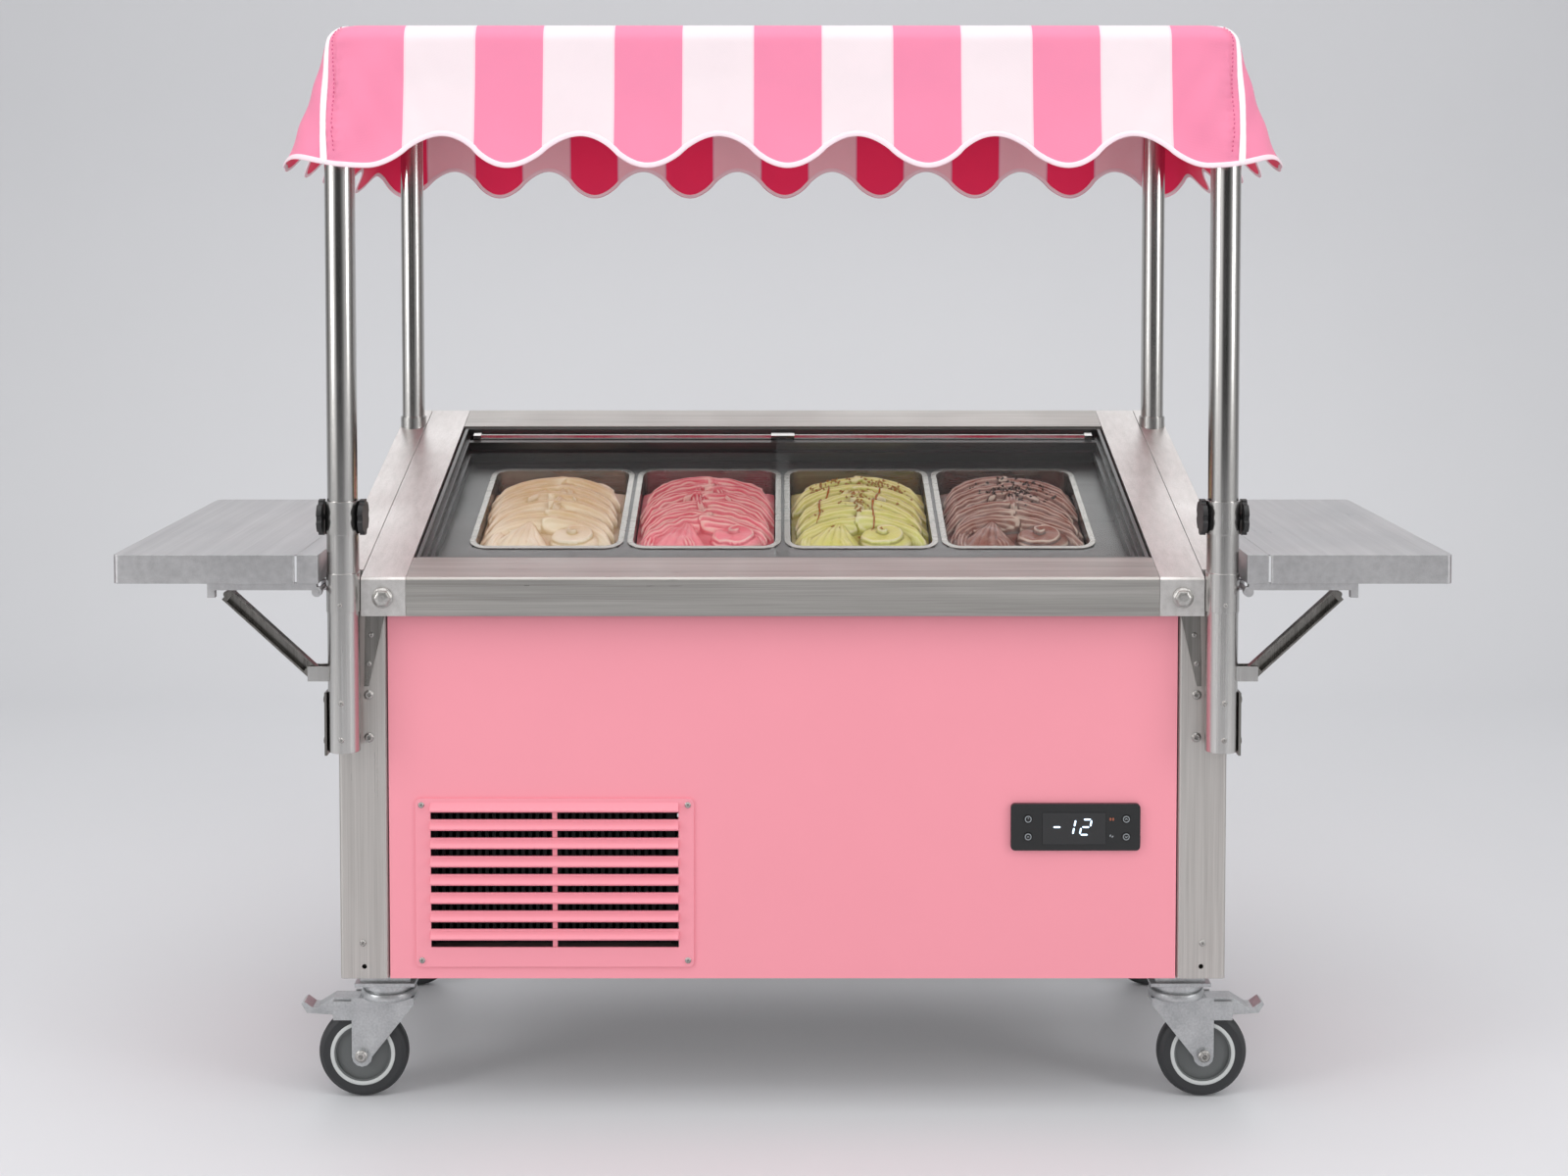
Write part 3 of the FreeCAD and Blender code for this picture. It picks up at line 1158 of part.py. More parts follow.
def build_all():
    node("base_frame", build_base_frame())
    node("corner_columns", build_columns())
    node("front_panel", build_front_panel())
    node("rear_panel", build_rear_panel())
    node("side_panels", build_side_panels())
    node("vent_grille", build_grille())
    node("control_housing", build_control_housing())
    node("control_window", box(("control_left + 51.3", "control_left + 154.7"),
                               ("front_face - 6.4", "front_face - 4"),
                               ("control_low + 10.3", "control_high - 14.3")))
    for name, x, z in (("button_power", "button_left", "button_high"),
                       ("button_set", "button_left", "button_low"),
                       ("button_up", "button_right", "button_high"),
                       ("button_down", "button_right", "button_low")):
        node(name, build_button(x, z))
    node("counter_front_rail", build_front_rail())
    node("counter_side_rails", build_side_rails())
    node("counter_rear_rail", build_rear_rail())
    node("side_cheeks", build_cheeks())
    node("well_liner", build_well_liner())
    node("well_frame", build_well_frame())
    node("gelato_pans", build_pans())
    for number, flavour in enumerate(("vanilla", "strawberry", "pistachio", "chocolate")):
        node("ice_cream_" + flavour, build_ice_cream(number))
    node("guard_tube", build_guard_tube())
    for side in ("left", "right"):
        node("glass_lid_" + side, build_lid(side))
    front, rear = build_posts()
    node("canopy_posts", together(front, rear))
    node("post_sleeves", together(build_front_sleeves(), build_rear_sleeves()))
    node("post_brackets", together(build_brackets(), build_strut_brackets()))
    node("shelf_hinge_rails", build_hinge_rails())
    node("shelf_lock_knobs", build_lock_knobs())
    for side, sign in (("left", -1), ("right", 1)):
        node("clamp_knobs_" + side, build_clamp(sign))
        node("shelf_" + side, build_shelf(sign))
        node("shelf_strut_" + side, build_strut(sign))
    node("caster_plates", build_caster_plates())
    for corner in CORNERS:
        node("caster_fork_" + corner, build_fork(corner))
        node("tyre_" + corner, build_tyre(corner))
        node("hub_" + corner, build_hub(corner))
        if corner.startswith("front"):
            node("brake_pedal_" + corner, build_pedal(corner))
    node("canopy_frame", build_canopy_frame())
    node("canopy_cloth", build_canopy_cloth())
    node("condenser", build_condenser())
    node("fan_shroud", build_fan_shroud())
    node("condenser_fan", build_fan())
    node("compressor", build_compressor())
    node("power_inlet", build_inlet())
    node("fasteners", build_fasteners())


build_all()
document.recompute()
for item in document.Objects:
    if "Invalid" in item.State or "Error" in item.State:
        raise RuntimeError("%s did not build: %s" % (item.Label, item.State))
for name, item in NODES.items():
    if item.Shape.isNull() or not item.Shape.isValid() or not item.Shape.Solids:
        raise RuntimeError("%s has no valid solid" % name)

os.makedirs("parts", exist_ok=True)
for name, item in NODES.items():
    item.Shape.exportStep("parts/%s.step" % name)
print("%d sub-parts written" % len(NODES))
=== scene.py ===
import json
import math
import bmesh
import bpy
import numpy as np
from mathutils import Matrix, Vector


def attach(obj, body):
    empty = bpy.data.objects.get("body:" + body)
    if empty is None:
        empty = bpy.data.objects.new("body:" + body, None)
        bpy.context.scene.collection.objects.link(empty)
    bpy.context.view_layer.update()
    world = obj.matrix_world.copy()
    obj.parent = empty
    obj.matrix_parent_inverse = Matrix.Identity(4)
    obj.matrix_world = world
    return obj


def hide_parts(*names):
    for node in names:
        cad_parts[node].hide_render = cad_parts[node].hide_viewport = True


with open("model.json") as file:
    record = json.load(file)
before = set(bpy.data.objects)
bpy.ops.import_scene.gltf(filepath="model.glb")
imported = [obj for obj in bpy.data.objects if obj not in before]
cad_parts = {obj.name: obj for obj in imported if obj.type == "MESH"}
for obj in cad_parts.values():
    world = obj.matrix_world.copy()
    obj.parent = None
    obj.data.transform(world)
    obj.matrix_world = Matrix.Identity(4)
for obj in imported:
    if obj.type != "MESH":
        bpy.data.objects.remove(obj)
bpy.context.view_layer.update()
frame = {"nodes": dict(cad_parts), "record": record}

MM = 0.001
BODY_OF = {node: body for body, nodes in frame["record"]["behaviour"]["bodies"].items() for node in nodes}


# Camera: level with the canopy's hem, pitched down a little, shifted down to the cart
def place_camera():
    data = bpy.data.cameras.new("camera")
    data.lens, data.sensor_width, data.shift_x, data.shift_y = 49.07, 36.0, 0.0008, -0.186
    camera = bpy.data.objects.new("camera", data)
    camera.location = (0.0, -3.7594, 1.5013)
    camera.rotation_euler = (math.radians(90 - 2.5), 0.0, 0.0)
    bpy.context.collection.objects.link(camera)
    bpy.context.scene.camera = camera


place_camera()
bpy.context.scene.view_settings.view_transform = "Standard"


# Node helpers
def node_in(tree, kind, inputs=(), **settings):
    """One node; an input is a value, or another node's output to link."""
    made = tree.nodes.new(kind)
    for key, value in settings.items():
        setattr(made, key, value)
    for key, value in dict(inputs).items():
        if isinstance(value, bpy.types.NodeSocket):
            tree.links.new(value, made.inputs[key])
        else:
            made.inputs[key].default_value = value
    return made


def math_in(tree, operation, first, second=0.0, third=0.0):
    return node_in(tree, "ShaderNodeMath", {0: first, 1: second, 2: third}, operation=operation).outputs[0]


def mix_in(tree, share, first, second, blend="MIX"):
    """Mixed colour of two colours."""
    made = node_in(tree, "ShaderNodeMix", {0: share, 6: first, 7: second}, data_type="RGBA", blend_type=blend)
    return made.outputs[2]


def range_in(tree, value, low, high, new_low, new_high):
    made = node_in(tree, "ShaderNodeMapRange", {0: value, 1: low, 2: high, 3: new_low, 4: new_high})
    return made.outputs[0]


def shade(red, green, blue):
    """A colour written as it looks on screen, 0 to 255, turned to linear light."""
    def linear(level):
        level /= 255
        return level / 12.92 if level <= 0.04045 else ((level + 0.055) / 1.055) ** 2.4
    return (linear(red), linear(green), linear(blue), 1.0)


def new_group(name, inputs, outputs):
    tree = bpy.data.node_groups.new(name, "ShaderNodeTree")
    for label, kind, value in inputs:
        tree.interface.new_socket(label, in_out="INPUT", socket_type=kind).default_value = value
    for label, kind in outputs:
        tree.interface.new_socket(label, in_out="OUTPUT", socket_type=kind)
    return tree, tree.nodes.new("NodeGroupInput"), tree.nodes.new("NodeGroupOutput")


def grain_group():
    """Brushing: noise drawn out along one direction by uneven stretch, in two finenesses."""
    tree, come, go = new_group("brushed grain", (("Stretch", "NodeSocketVector", (3, 300, 300)),),
                               (("Tone", "NodeSocketFloat"), ("Height", "NodeSocketFloat")))
    where = node_in(tree, "ShaderNodeTexCoord").outputs["Object"]
    drawn = node_in(tree, "ShaderNodeVectorMath", {0: where, 1: come.outputs[0]}, operation="MULTIPLY").outputs[0]
    fine = node_in(tree, "ShaderNodeTexNoise", {"Vector": drawn, "Scale": 3.0, "Detail": 4.0}).outputs[0]
    broad = node_in(tree, "ShaderNodeTexNoise", {"Vector": drawn, "Scale": 0.35, "Detail": 3.0}).outputs[0]
    tone = math_in(tree, "MULTIPLY_ADD", fine, 0.5, math_in(tree, "MULTIPLY", broad, 0.5))
    tree.links.new(tone, go.inputs["Tone"])
    tree.links.new(fine, go.inputs["Height"])
    return tree


def smudge_group():
    """Slow clouds over a surface: handling marks and uneven sheen."""
    tree, come, go = new_group("smudges", (("Size", "NodeSocketFloat", 6.0),),
                               (("Cloud", "NodeSocketFloat"), ("Speckle", "NodeSocketFloat")))
    where = node_in(tree, "ShaderNodeTexCoord").outputs["Object"]
    cloud = node_in(tree, "ShaderNodeTexNoise", {"Vector": where, "Scale": come.outputs[0], "Detail": 3.0})
    speck = node_in(tree, "ShaderNodeTexNoise", {"Vector": where, "Scale": 900.0, "Detail": 2.0})
    tree.links.new(cloud.outputs[0], go.inputs["Cloud"])
    tree.links.new(speck.outputs[0], go.inputs["Speckle"])
    return tree


GRAIN, SMUDGE = grain_group(), smudge_group()


def new_material(name):
    material = bpy.data.materials.new(name)
    material.use_nodes = True
    tree = material.node_tree
    return material, tree, tree.nodes["Principled BSDF"]


def bumped(tree, height, distance, strength=1.0, bevel=0.0):
    """A bump over a softened edge."""
    inputs = {"Height": height, "Distance": distance, "Strength": strength}
    if bevel:
        inputs["Normal"] = node_in(tree, "ShaderNodeBevel", {"Radius": bevel}, samples=4).outputs[0]
    return node_in(tree, "ShaderNodeBump", inputs).outputs[0]


def steel(name, stretch, dark, light, rough=(0.26, 0.40), depth=0.00003, bevel=0.0012, metal=0.72):
    """Brushed stainless steel; stretch is small along the brushing."""
    material, tree, shader = new_material(name)
    grain = node_in(tree, "ShaderNodeGroup", node_tree=GRAIN)
    grain.inputs["Stretch"].default_value = stretch
    marks = node_in(tree, "ShaderNodeGroup", node_tree=SMUDGE)
    marks.inputs["Size"].default_value = 5.0
    tone = range_in(tree, grain.outputs["Tone"], 0.35, 0.65, 0.0, 1.0)
    colour = mix_in(tree, tone, dark, light)
    rough_low = range_in(tree, marks.outputs["Cloud"], 0.3, 0.7, rough[0], rough[1])
    tree.links.new(colour, shader.inputs["Base Color"])
    tree.links.new(math_in(tree, "MULTIPLY_ADD", tone, 0.05, rough_low), shader.inputs["Roughness"])
    shader.inputs["Metallic"].default_value = metal
    normal = bumped(tree, grain.outputs["Height"], depth, 1.0, bevel)
    tree.links.new(normal, shader.inputs["Normal"])
    return material


def plain(name, colour, rough=0.5, metal=0.0, cloud=0.06, bump=0.00002, bevel=0.0008, coat=0.0):
    """A moulded or painted finish: slow clouds in tone and sheen, and a fine orange-peel bump."""
    material, tree, shader = new_material(name)
    marks = node_in(tree, "ShaderNodeGroup", node_tree=SMUDGE)
    darker = tuple(c * (1 - cloud) for c in colour[:3]) + (1.0,)
    tree.links.new(mix_in(tree, marks.outputs["Cloud"], darker, colour), shader.inputs["Base Color"])
    sheen = range_in(tree, marks.outputs["Cloud"], 0.3, 0.7, rough - 0.04, rough + 0.04)
    tree.links.new(sheen, shader.inputs["Roughness"])
    shader.inputs["Metallic"].default_value = metal
    shader.inputs["Coat Weight"].default_value = coat
    tree.links.new(bumped(tree, marks.outputs["Speckle"], bump, 1.0, bevel), shader.inputs["Normal"])
    return material


# Mesh helpers
def grid_faces(rows, columns, wrap=False, flip=False):
    """Quads between neighbours of a rows by columns grid; the last column joins the first if wrapped."""
    i, j = np.meshgrid(np.arange(rows - 1), np.arange(columns if wrap else columns - 1), indexing="ij")
    across = (j + 1) % columns
    quads = np.stack([i * columns + j, i * columns + across, (i + 1) * columns + across, (i + 1) * columns + j], -1)
    quads = quads.reshape(-1, 4)
    return quads[:, ::-1] if flip else quads


def add_piece(name, points, faces, body, materials, smooth=True, merge=False):
    """A mesh piece in the row frame that rides on a body."""
    mesh = bpy.data.meshes.new(name)
    mesh.from_pydata(np.asarray(points, float).reshape(-1, 3).tolist(), [], [tuple(f) for f in np.asarray(faces).tolist()])
    if merge:
        shell = bmesh.new()
        shell.from_mesh(mesh)
        bmesh.ops.remove_doubles(shell, verts=shell.verts, dist=1e-6)
        bmesh.ops.dissolve_degenerate(shell, edges=shell.edges, dist=1e-7)
        bmesh.ops.recalc_face_normals(shell, faces=shell.faces)
        shell.to_mesh(mesh)
        shell.free()
    for material in materials if isinstance(materials, (list, tuple)) else [materials]:
        mesh.materials.append(material)
    mesh.polygons.foreach_set("use_smooth", np.full(len(mesh.polygons), smooth))
    mesh.update()
    piece = bpy.data.objects.new(name, mesh)
    bpy.context.collection.objects.link(piece)
    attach(piece, body)
    return piece


def basis(axis):
    """Two unit vectors square to an axis."""
    axis = np.asarray(axis, float) / np.linalg.norm(axis)
    side = np.cross(axis, (0, 0, 1) if abs(axis[2]) < 0.9 else (1, 0, 0))
    side /= np.linalg.norm(side)
    return axis, side, np.cross(axis, side)


def turned(profile, centre, axis, count=48, ripple=None):
    """Profile of (radius, height) carried round an axis: centre + height axis + radius (cos a side + sin a up)."""
    axis, side, up = basis(axis)
    profile = np.asarray(profile, float)
    angle = np.linspace(0, 2 * np.pi, count, endpoint=False)
    ring = np.cos(angle)[:, None] * side + np.sin(angle)[:, None] * up
    radius = profile[:, 0][:, None] * (np.ones(count) if ripple is None else ripple(profile, angle))
    points = np.asarray(centre, float) + profile[:, 1][:, None, None] * axis + radius[..., None] * ring
    return points.reshape(-1, 3), grid_faces(len(profile), count, wrap=True)


def carried(path, outline, closed=True, up=(0, 0, 1)):
    """Outline of (side, up) offsets carried along a path of points, square to its tangent."""
    path = np.asarray(path, float)
    tangent = np.gradient(path, axis=0) if not closed else np.roll(path, -1, 0) - np.roll(path, 1, 0)
    tangent /= np.linalg.norm(tangent, axis=1)[:, None]
    ups = np.broadcast_to(np.asarray(up, float), path.shape)
    side = np.cross(tangent, ups)
    side /= np.linalg.norm(side, axis=1)[:, None]
    ups = np.cross(side, tangent)
    outline = np.asarray(outline, float)
    points = path[:, None] + outline[None, :, :1] * side[:, None] + outline[None, :, 1:] * ups[:, None]
    return points, side, ups


def joined(parts):
    """Several (points, faces) in one."""
    start, points, faces = 0, [], []
    for where, quads in parts:
        points.append(np.asarray(where).reshape(-1, 3))
        faces.append(np.asarray(quads) + start)
        start += len(points[-1])
    return np.concatenate(points), np.concatenate(faces)


# Finishes
ALONG_X, ALONG_Y, ALONG_Z = (2.0, 260.0, 260.0), (260.0, 2.0, 260.0), (260.0, 260.0, 2.0)
# The brushed steels are copies of one stainless steel. Where it is brushed across (front and rear rails, base frame)
# its darker base colour is painted shade. Where it is brushed front to back (side rails, cheeks) its lighter base
# colour is painted light. The upright copy (columns) sits in between.
steel_x_painted_shade = steel("steel brushed across with painted shade", ALONG_X, shade(154, 151, 147), shade(186, 183, 179))
steel_y_painted_light = steel("steel brushed front to back with painted light", ALONG_Y, shade(196, 193, 190), shade(220, 217, 215))
# Shelf steel: its base colour is raised as painted light, standing in for bright reflections on the shelf tops.
steel_shelf_painted_light = steel("shelf steel with painted light", ALONG_Y, shade(186, 185, 186), shade(206, 205, 206), metal=0.85)
# Bracket steel: a darker copy of the steel, painted shade for the brackets and struts that sit under the counter and
# the shelves.
steel_bracket_painted_shade = steel("bracket steel with painted shade", ALONG_Z, shade(112, 109, 105), shade(150, 147, 143), (0.2, 0.3), metal=0.95)
steel_sleeve = steel("turned sleeve steel", ALONG_Z, shade(176, 174, 171), shade(204, 202, 200), (0.17, 0.25), 0.00001,
                     metal=1.0)
steel_z = steel("steel brushed upright", ALONG_Z, shade(176, 172, 168), shade(202, 198, 194))
steel_post = steel("polished post tube", ALONG_Z, shade(186, 184, 181), shade(206, 204, 202), (0.13, 0.19), 0.00001,
                   0.0, 1.0)
# Well lining steel: a dark copy of the steel, painted shade inside the recessed well.
steel_well_painted_shade = steel("well lining steel with painted shade", ALONG_X, shade(96, 96, 96), shade(114, 114, 113), (0.26, 0.34), 0.000005, metal=0.9)
steel_pan = steel("pan steel", ALONG_X, shade(150, 148, 144), shade(176, 173, 168), (0.20, 0.30), 0.00001, metal=0.95)
zinc = steel("zinc plate", (90.0, 90.0, 90.0), shade(168, 170, 172), shade(198, 200, 201), (0.30, 0.42), 0.00002)
bolt_steel = steel("bolt steel", (90.0, 90.0, 90.0), shade(150, 148, 145), shade(186, 184, 181), (0.22, 0.32), 0.00002)
pink_paint = plain("pink powder coat", shade(238, 150, 164), 0.46, cloud=0.03)
black_gloss = plain("black panel plastic", shade(24, 25, 26), 0.22, cloud=0.1, bevel=0.0006)
black_matt = plain("black knob plastic", shade(34, 34, 35), 0.45, cloud=0.15)
window_black = plain("display window", shade(9, 10, 12), 0.08, cloud=0.05, bump=0.0, coat=0.5)
rubber = plain("tyre rubber", shade(46, 47, 49), 0.55, cloud=0.12, bump=0.00008)
hub_grey = plain("hub plastic", shade(98, 101, 101), 0.5, cloud=0.08)
ring_grey = plain("pale hub ring", shade(196, 199, 198), 0.4, cloud=0.05)
# Condenser: painted near black as shade, so the grille's slots look dark.
cooler_painted_shade = plain("cooler fins painted black as shade", shade(7, 7, 8), 0.6)
canopy_tube = plain("canopy tube", shade(198, 199, 201), 0.3, metal=1.0)
# Dark colour painted as shade in a screw's recess.
recess_painted_shade = plain("screw recess painted shade", shade(40, 39, 38), 0.6, metal=0.5, bevel=0.0)
stitch_thread = plain("stitching thread", shade(214, 96, 138), 0.7, bevel=0.0)


def clear_glass():
    """Clear pane: it lets light straight through and adds a faint reflection towards its grazing sides."""
    material, tree, shader = new_material("clear glass")
    shader.inputs["Base Color"].default_value = (0.93, 0.95, 0.95, 1.0)
    shader.inputs["Metallic"].default_value = 1.0
    marks = node_in(tree, "ShaderNodeGroup", node_tree=SMUDGE)
    tree.links.new(range_in(tree, marks.outputs["Cloud"], 0.3, 0.8, 0.02, 0.06), shader.inputs["Roughness"])
    rim = node_in(tree, "ShaderNodeFresnel", {"IOR": 1.3}).outputs[0]
    light = node_in(tree, "ShaderNodeLightPath")
    inner = node_in(tree, "ShaderNodeNewGeometry").outputs["Backfacing"]
    unseen = math_in(tree, "MAXIMUM", inner, math_in(tree, "MAXIMUM", light.outputs["Is Shadow Ray"],
                                                     light.outputs["Is Diffuse Ray"]))
    share = math_in(tree, "MULTIPLY", rim, math_in(tree, "MULTIPLY", math_in(tree, "SUBTRACT", 1.0, unseen), 0.14))
    see = node_in(tree, "ShaderNodeBsdfTransparent", {"Color": (0.995, 0.998, 0.997, 1.0)})
    mixed = node_in(tree, "ShaderNodeMixShader", {0: share, 1: see.outputs[0], 2: shader.outputs[0]})
    tree.links.new(mixed.outputs[0], tree.nodes["Material Output"].inputs["Surface"])
    return material


glass = clear_glass()

NODE_FINISH = {
    "base_frame": steel_x_painted_shade, "corner_columns": steel_z, "front_panel": pink_paint, "rear_panel": pink_paint,
    "side_panels": pink_paint, "vent_grille": pink_paint, "control_housing": black_gloss,
    "control_window": window_black, "counter_front_rail": steel_x_painted_shade, "counter_side_rails": steel_y_painted_light,
    "counter_rear_rail": steel_x_painted_shade, "side_cheeks": steel_y_painted_light, "well_liner": steel_well_painted_shade, "well_frame": steel_well_painted_shade,
    "gelato_pans": steel_pan, "guard_tube": steel_post, "glass_lid_left": glass, "glass_lid_right": glass,
    "canopy_posts": steel_post, "post_sleeves": steel_sleeve, "post_brackets": steel_bracket_painted_shade,
    "shelf_hinge_rails": steel_shelf_painted_light, "shelf_lock_knobs": black_matt, "clamp_knobs_left": black_matt,
    "clamp_knobs_right": black_matt, "shelf_left": steel_shelf_painted_light, "shelf_right": steel_shelf_painted_light,
    "shelf_strut_left": steel_bracket_painted_shade, "shelf_strut_right": steel_bracket_painted_shade, "caster_plates": zinc,
    "canopy_frame": canopy_tube, "condenser": cooler_painted_shade, "fan_shroud": black_matt,
    "condenser_fan": black_matt, "compressor": black_matt, "power_inlet": black_matt,
    "fasteners": steel_z, "ice_cream_vanilla": pink_paint, "ice_cream_strawberry": pink_paint,
    "ice_cream_pistachio": pink_paint, "ice_cream_chocolate": pink_paint, "canopy_cloth": pink_paint,
}


def finish_of(node):
    for start, finish in (("caster_fork", zinc), ("tyre", rubber), ("hub", hub_grey), ("brake_pedal", zinc),
                          ("button", black_gloss)):
        if node.startswith(start):
            return finish
    return NODE_FINISH[node]


def dress_nodes():
    for node, piece in frame["nodes"].items():
        finish = finish_of(node)
        for index in range(max(1, len(piece.material_slots))):
            if not piece.material_slots:
                piece.data.materials.append(finish)
            piece.material_slots[index].material = finish


dress_nodes()


# Canopy: its own frame leans back 3.25 degrees about X
LEAN = math.radians(-3.25)
CANOPY_BASE = np.array([0.0, 1.0, 1534.0])
HEM = {"wide": 806.0, "deep": 404.0, "round": 84.0}
ROOF = {"wide": 718.0, "deep": 380.0, "round": 30.0}
HEIGHT, EDGE = 230.0, 26.0
FRONT_PITCH, FRONT_SHIFT, REAR_PITCH, REAR_SHIFT, SIDE_PITCH = 220.0, 8.0, 185.0, 4.0, 142.0
SCALLOP = 51.0
COLUMNS = (232, 22, 112, 22, 232, 22, 112, 22)


def columns_round():
    """Columns round the canopy, from the front's left end: corner place (cx, cy), outward normal (nx, ny)."""
    straight = ((0, -1, (-1, 1)), (1, 0, (-1, 1)), (0, 1, (1, -1)), (-1, 0, (1, -1)))
    rows = []
    for side in range(4):
        nx, ny, (start, end) = straight[side]
        share = np.linspace(start, end, COLUMNS[2 * side], endpoint=False)
        cx, cy = (share, np.full_like(share, ny)) if nx == 0 else (np.full_like(share, nx), share)
        rows.append(np.stack([cx, cy, np.full_like(share, nx), np.full_like(share, ny)], 1))
        angle = np.radians(-90 + 90 * side) + np.linspace(0, np.pi / 2, COLUMNS[2 * side + 1], endpoint=False)
        corner_x, corner_y = ((1, -1), (1, 1), (-1, 1), (-1, -1))[side]
        rows.append(np.stack([np.full_like(angle, corner_x), np.full_like(angle, corner_y),
                              np.cos(angle), np.sin(angle)], 1))
    return np.concatenate(rows)


AROUND = columns_round()


def ring_at(level, inset=0.0, around=AROUND):
    """A ring of the canopy at a level: corner centres plus the corner radius along the normal."""
    share = np.clip(level / HEIGHT, -0.2, 1.0)
    wide = HEM["wide"] + (ROOF["wide"] - HEM["wide"]) * share - inset
    deep = HEM["deep"] + (ROOF["deep"] - HEM["deep"]) * share - inset
    bend = HEM["round"] + (ROOF["round"] - HEM["round"]) * share
    x = around[:, 0] * (wide - bend) + around[:, 2] * bend
    y = around[:, 1] * (deep - bend) + around[:, 3] * bend
    return x, y


def scallops(along, pitch, shift):
    """Hem height of round lobes and round hollows: half a scallop times one minus a fattened cosine."""
    turn = np.cos(2 * np.pi * (along - shift) / pitch)
    return SCALLOP / 2 * (1 - np.sign(turn) * np.abs(turn) ** 0.85)


def hem_height(around=AROUND):
    """Height of the hem over the scallop tips; round a corner it passes smoothly from one side to the next.

    The last front lobe is longer: it climbs with the square of the way out to the corner's tip."""
    x, y = ring_at(np.zeros(len(around)), around=around)
    nx, ny = around[:, 2], around[:, 3]
    last = np.where(x < 0, 652.0, 668.0)
    out = np.clip((np.abs(x) - last) / (HEM["wide"] - last), 0, 1)
    front = np.where(np.abs(x) > last, 30 * out ** 2, scallops(x, FRONT_PITCH, FRONT_SHIFT))
    rear = scallops(x, REAR_PITCH, REAR_SHIFT)
    side = 0.7 * scallops(np.clip(y, -300, 368), SIDE_PITCH, 0) + 3
    share = np.abs(ny) ** 1.2
    return share * np.where(ny < 0, front, rear) + (1 - share) * side


def to_row(points):
    """From the canopy's own millimetres to the row frame."""
    points = np.asarray(points, float)
    c, s = math.cos(LEAN), math.sin(LEAN)
    x, y, z = points[..., 0], points[..., 1], points[..., 2]
    return (np.stack([x, y * c - z * s, y * s + z * c], -1) + CANOPY_BASE) * MM


def skirt(share, around=AROUND, out=0.0):
    """The hanging skirt, share 0 at the roof's edge to 1 at the hem.

    Soft folds grow towards the hem, broad pulls cross the end stripes, and the seam beside each corner puckers."""
    hem = hem_height(around)
    top = HEIGHT - EDGE
    level = top + (hem - top) * share
    x, y = ring_at(level, around=around)
    nx, ny = around[:, 2], around[:, 3]
    facing = np.abs(ny)
    pitch = np.where(ny < 0, FRONT_PITCH, REAR_PITCH)
    shift = np.where(ny < 0, FRONT_SHIFT, REAR_SHIFT)
    lobe = facing * np.cos(2 * np.pi * (x - shift) / pitch) + (1 - facing) * np.cos(
        2 * np.pi * y / SIDE_PITCH)
    drop = (top - level) / top
    fold = 3.0 * drop ** 2 * lobe
    ends = np.clip((np.abs(x) - 520) / 150, 0, 1)
    slant = np.abs(x) + 0.75 * level
    pull = 4.2 * np.sin(np.pi * np.clip(drop, 0, 1)) * np.cos(2 * np.pi * slant / 150 + 0.9 * np.sin(level / 40))
    pull += 1.6 * np.sin(np.pi * np.clip(drop, 0, 1)) * np.cos(2 * np.pi * (np.abs(x) - 0.5 * level) / 62)
    small = 0.5 * np.sin(x / 37 + level / 23) + 0.5 * np.sin(x / 61 - level / 31)
    belly = -4.0 * np.sin(np.pi * np.clip(drop, 0, 1))
    beside = np.abs(np.abs(x) - 706)
    pucker = 1.5 * np.sin(level / 3.1) * np.exp(-(beside / 11) ** 2) * facing
    crease = -2.6 * np.exp(-((beside - 6) / 9) ** 2) * facing
    push = fold + ends * pull + belly + small * drop + (pucker + crease) * np.clip(8 * share, 0, 1) + out
    return np.stack([x + nx * push, y + ny * push, level + 0 * x], -1)


def canopy_rows():
    """Rows from the middle of the roof over its rounded edge and down to the hem."""
    rows, kinds = [], []
    x0, y0 = ring_at(np.full(len(AROUND), HEIGHT), inset=EDGE)
    for k in np.linspace(0, 1, 26)[:-1]:
        sag = 7 * (1 - k ** 2) * np.cos(np.pi * np.clip(y0 * k / 380, -1, 1) / 2)
        rows.append(np.stack([x0 * k, y0 * k, HEIGHT - sag], -1))
        kinds.append(0)
    for angle in np.radians(np.linspace(90, 0, 9)[:-1]):
        level = HEIGHT - EDGE + EDGE * math.sin(angle)
        x, y = ring_at(np.full(len(AROUND), level), inset=EDGE * (1 - math.cos(angle)))
        rows.append(np.stack([x, y, np.full(len(AROUND), level)], -1))
        kinds.append(1)
    for share in np.linspace(0, 1, 30):
        rows.append(skirt(share))
        kinds.append(2)
    return np.array(rows), np.array(kinds)


def weave_group():
    """Plain weave: two crossed sines of the cloth's own flat coordinates."""
    tree, come, go = new_group("plain weave", (("Threads", "NodeSocketFloat", 1400.0),),
                               (("Height", "NodeSocketFloat"),))
    flat = node_in(tree, "ShaderNodeTexCoord").outputs["UV"]
    part = node_in(tree, "ShaderNodeSeparateXYZ", {0: flat})
    across = math_in(tree, "SINE", math_in(tree, "MULTIPLY", part.outputs[0], come.outputs[0]))
    down = math_in(tree, "SINE", math_in(tree, "MULTIPLY", part.outputs[1], come.outputs[0]))
    tree.links.new(math_in(tree, "MULTIPLY", across, down), go.inputs[0])
    return tree


WEAVE = weave_group()


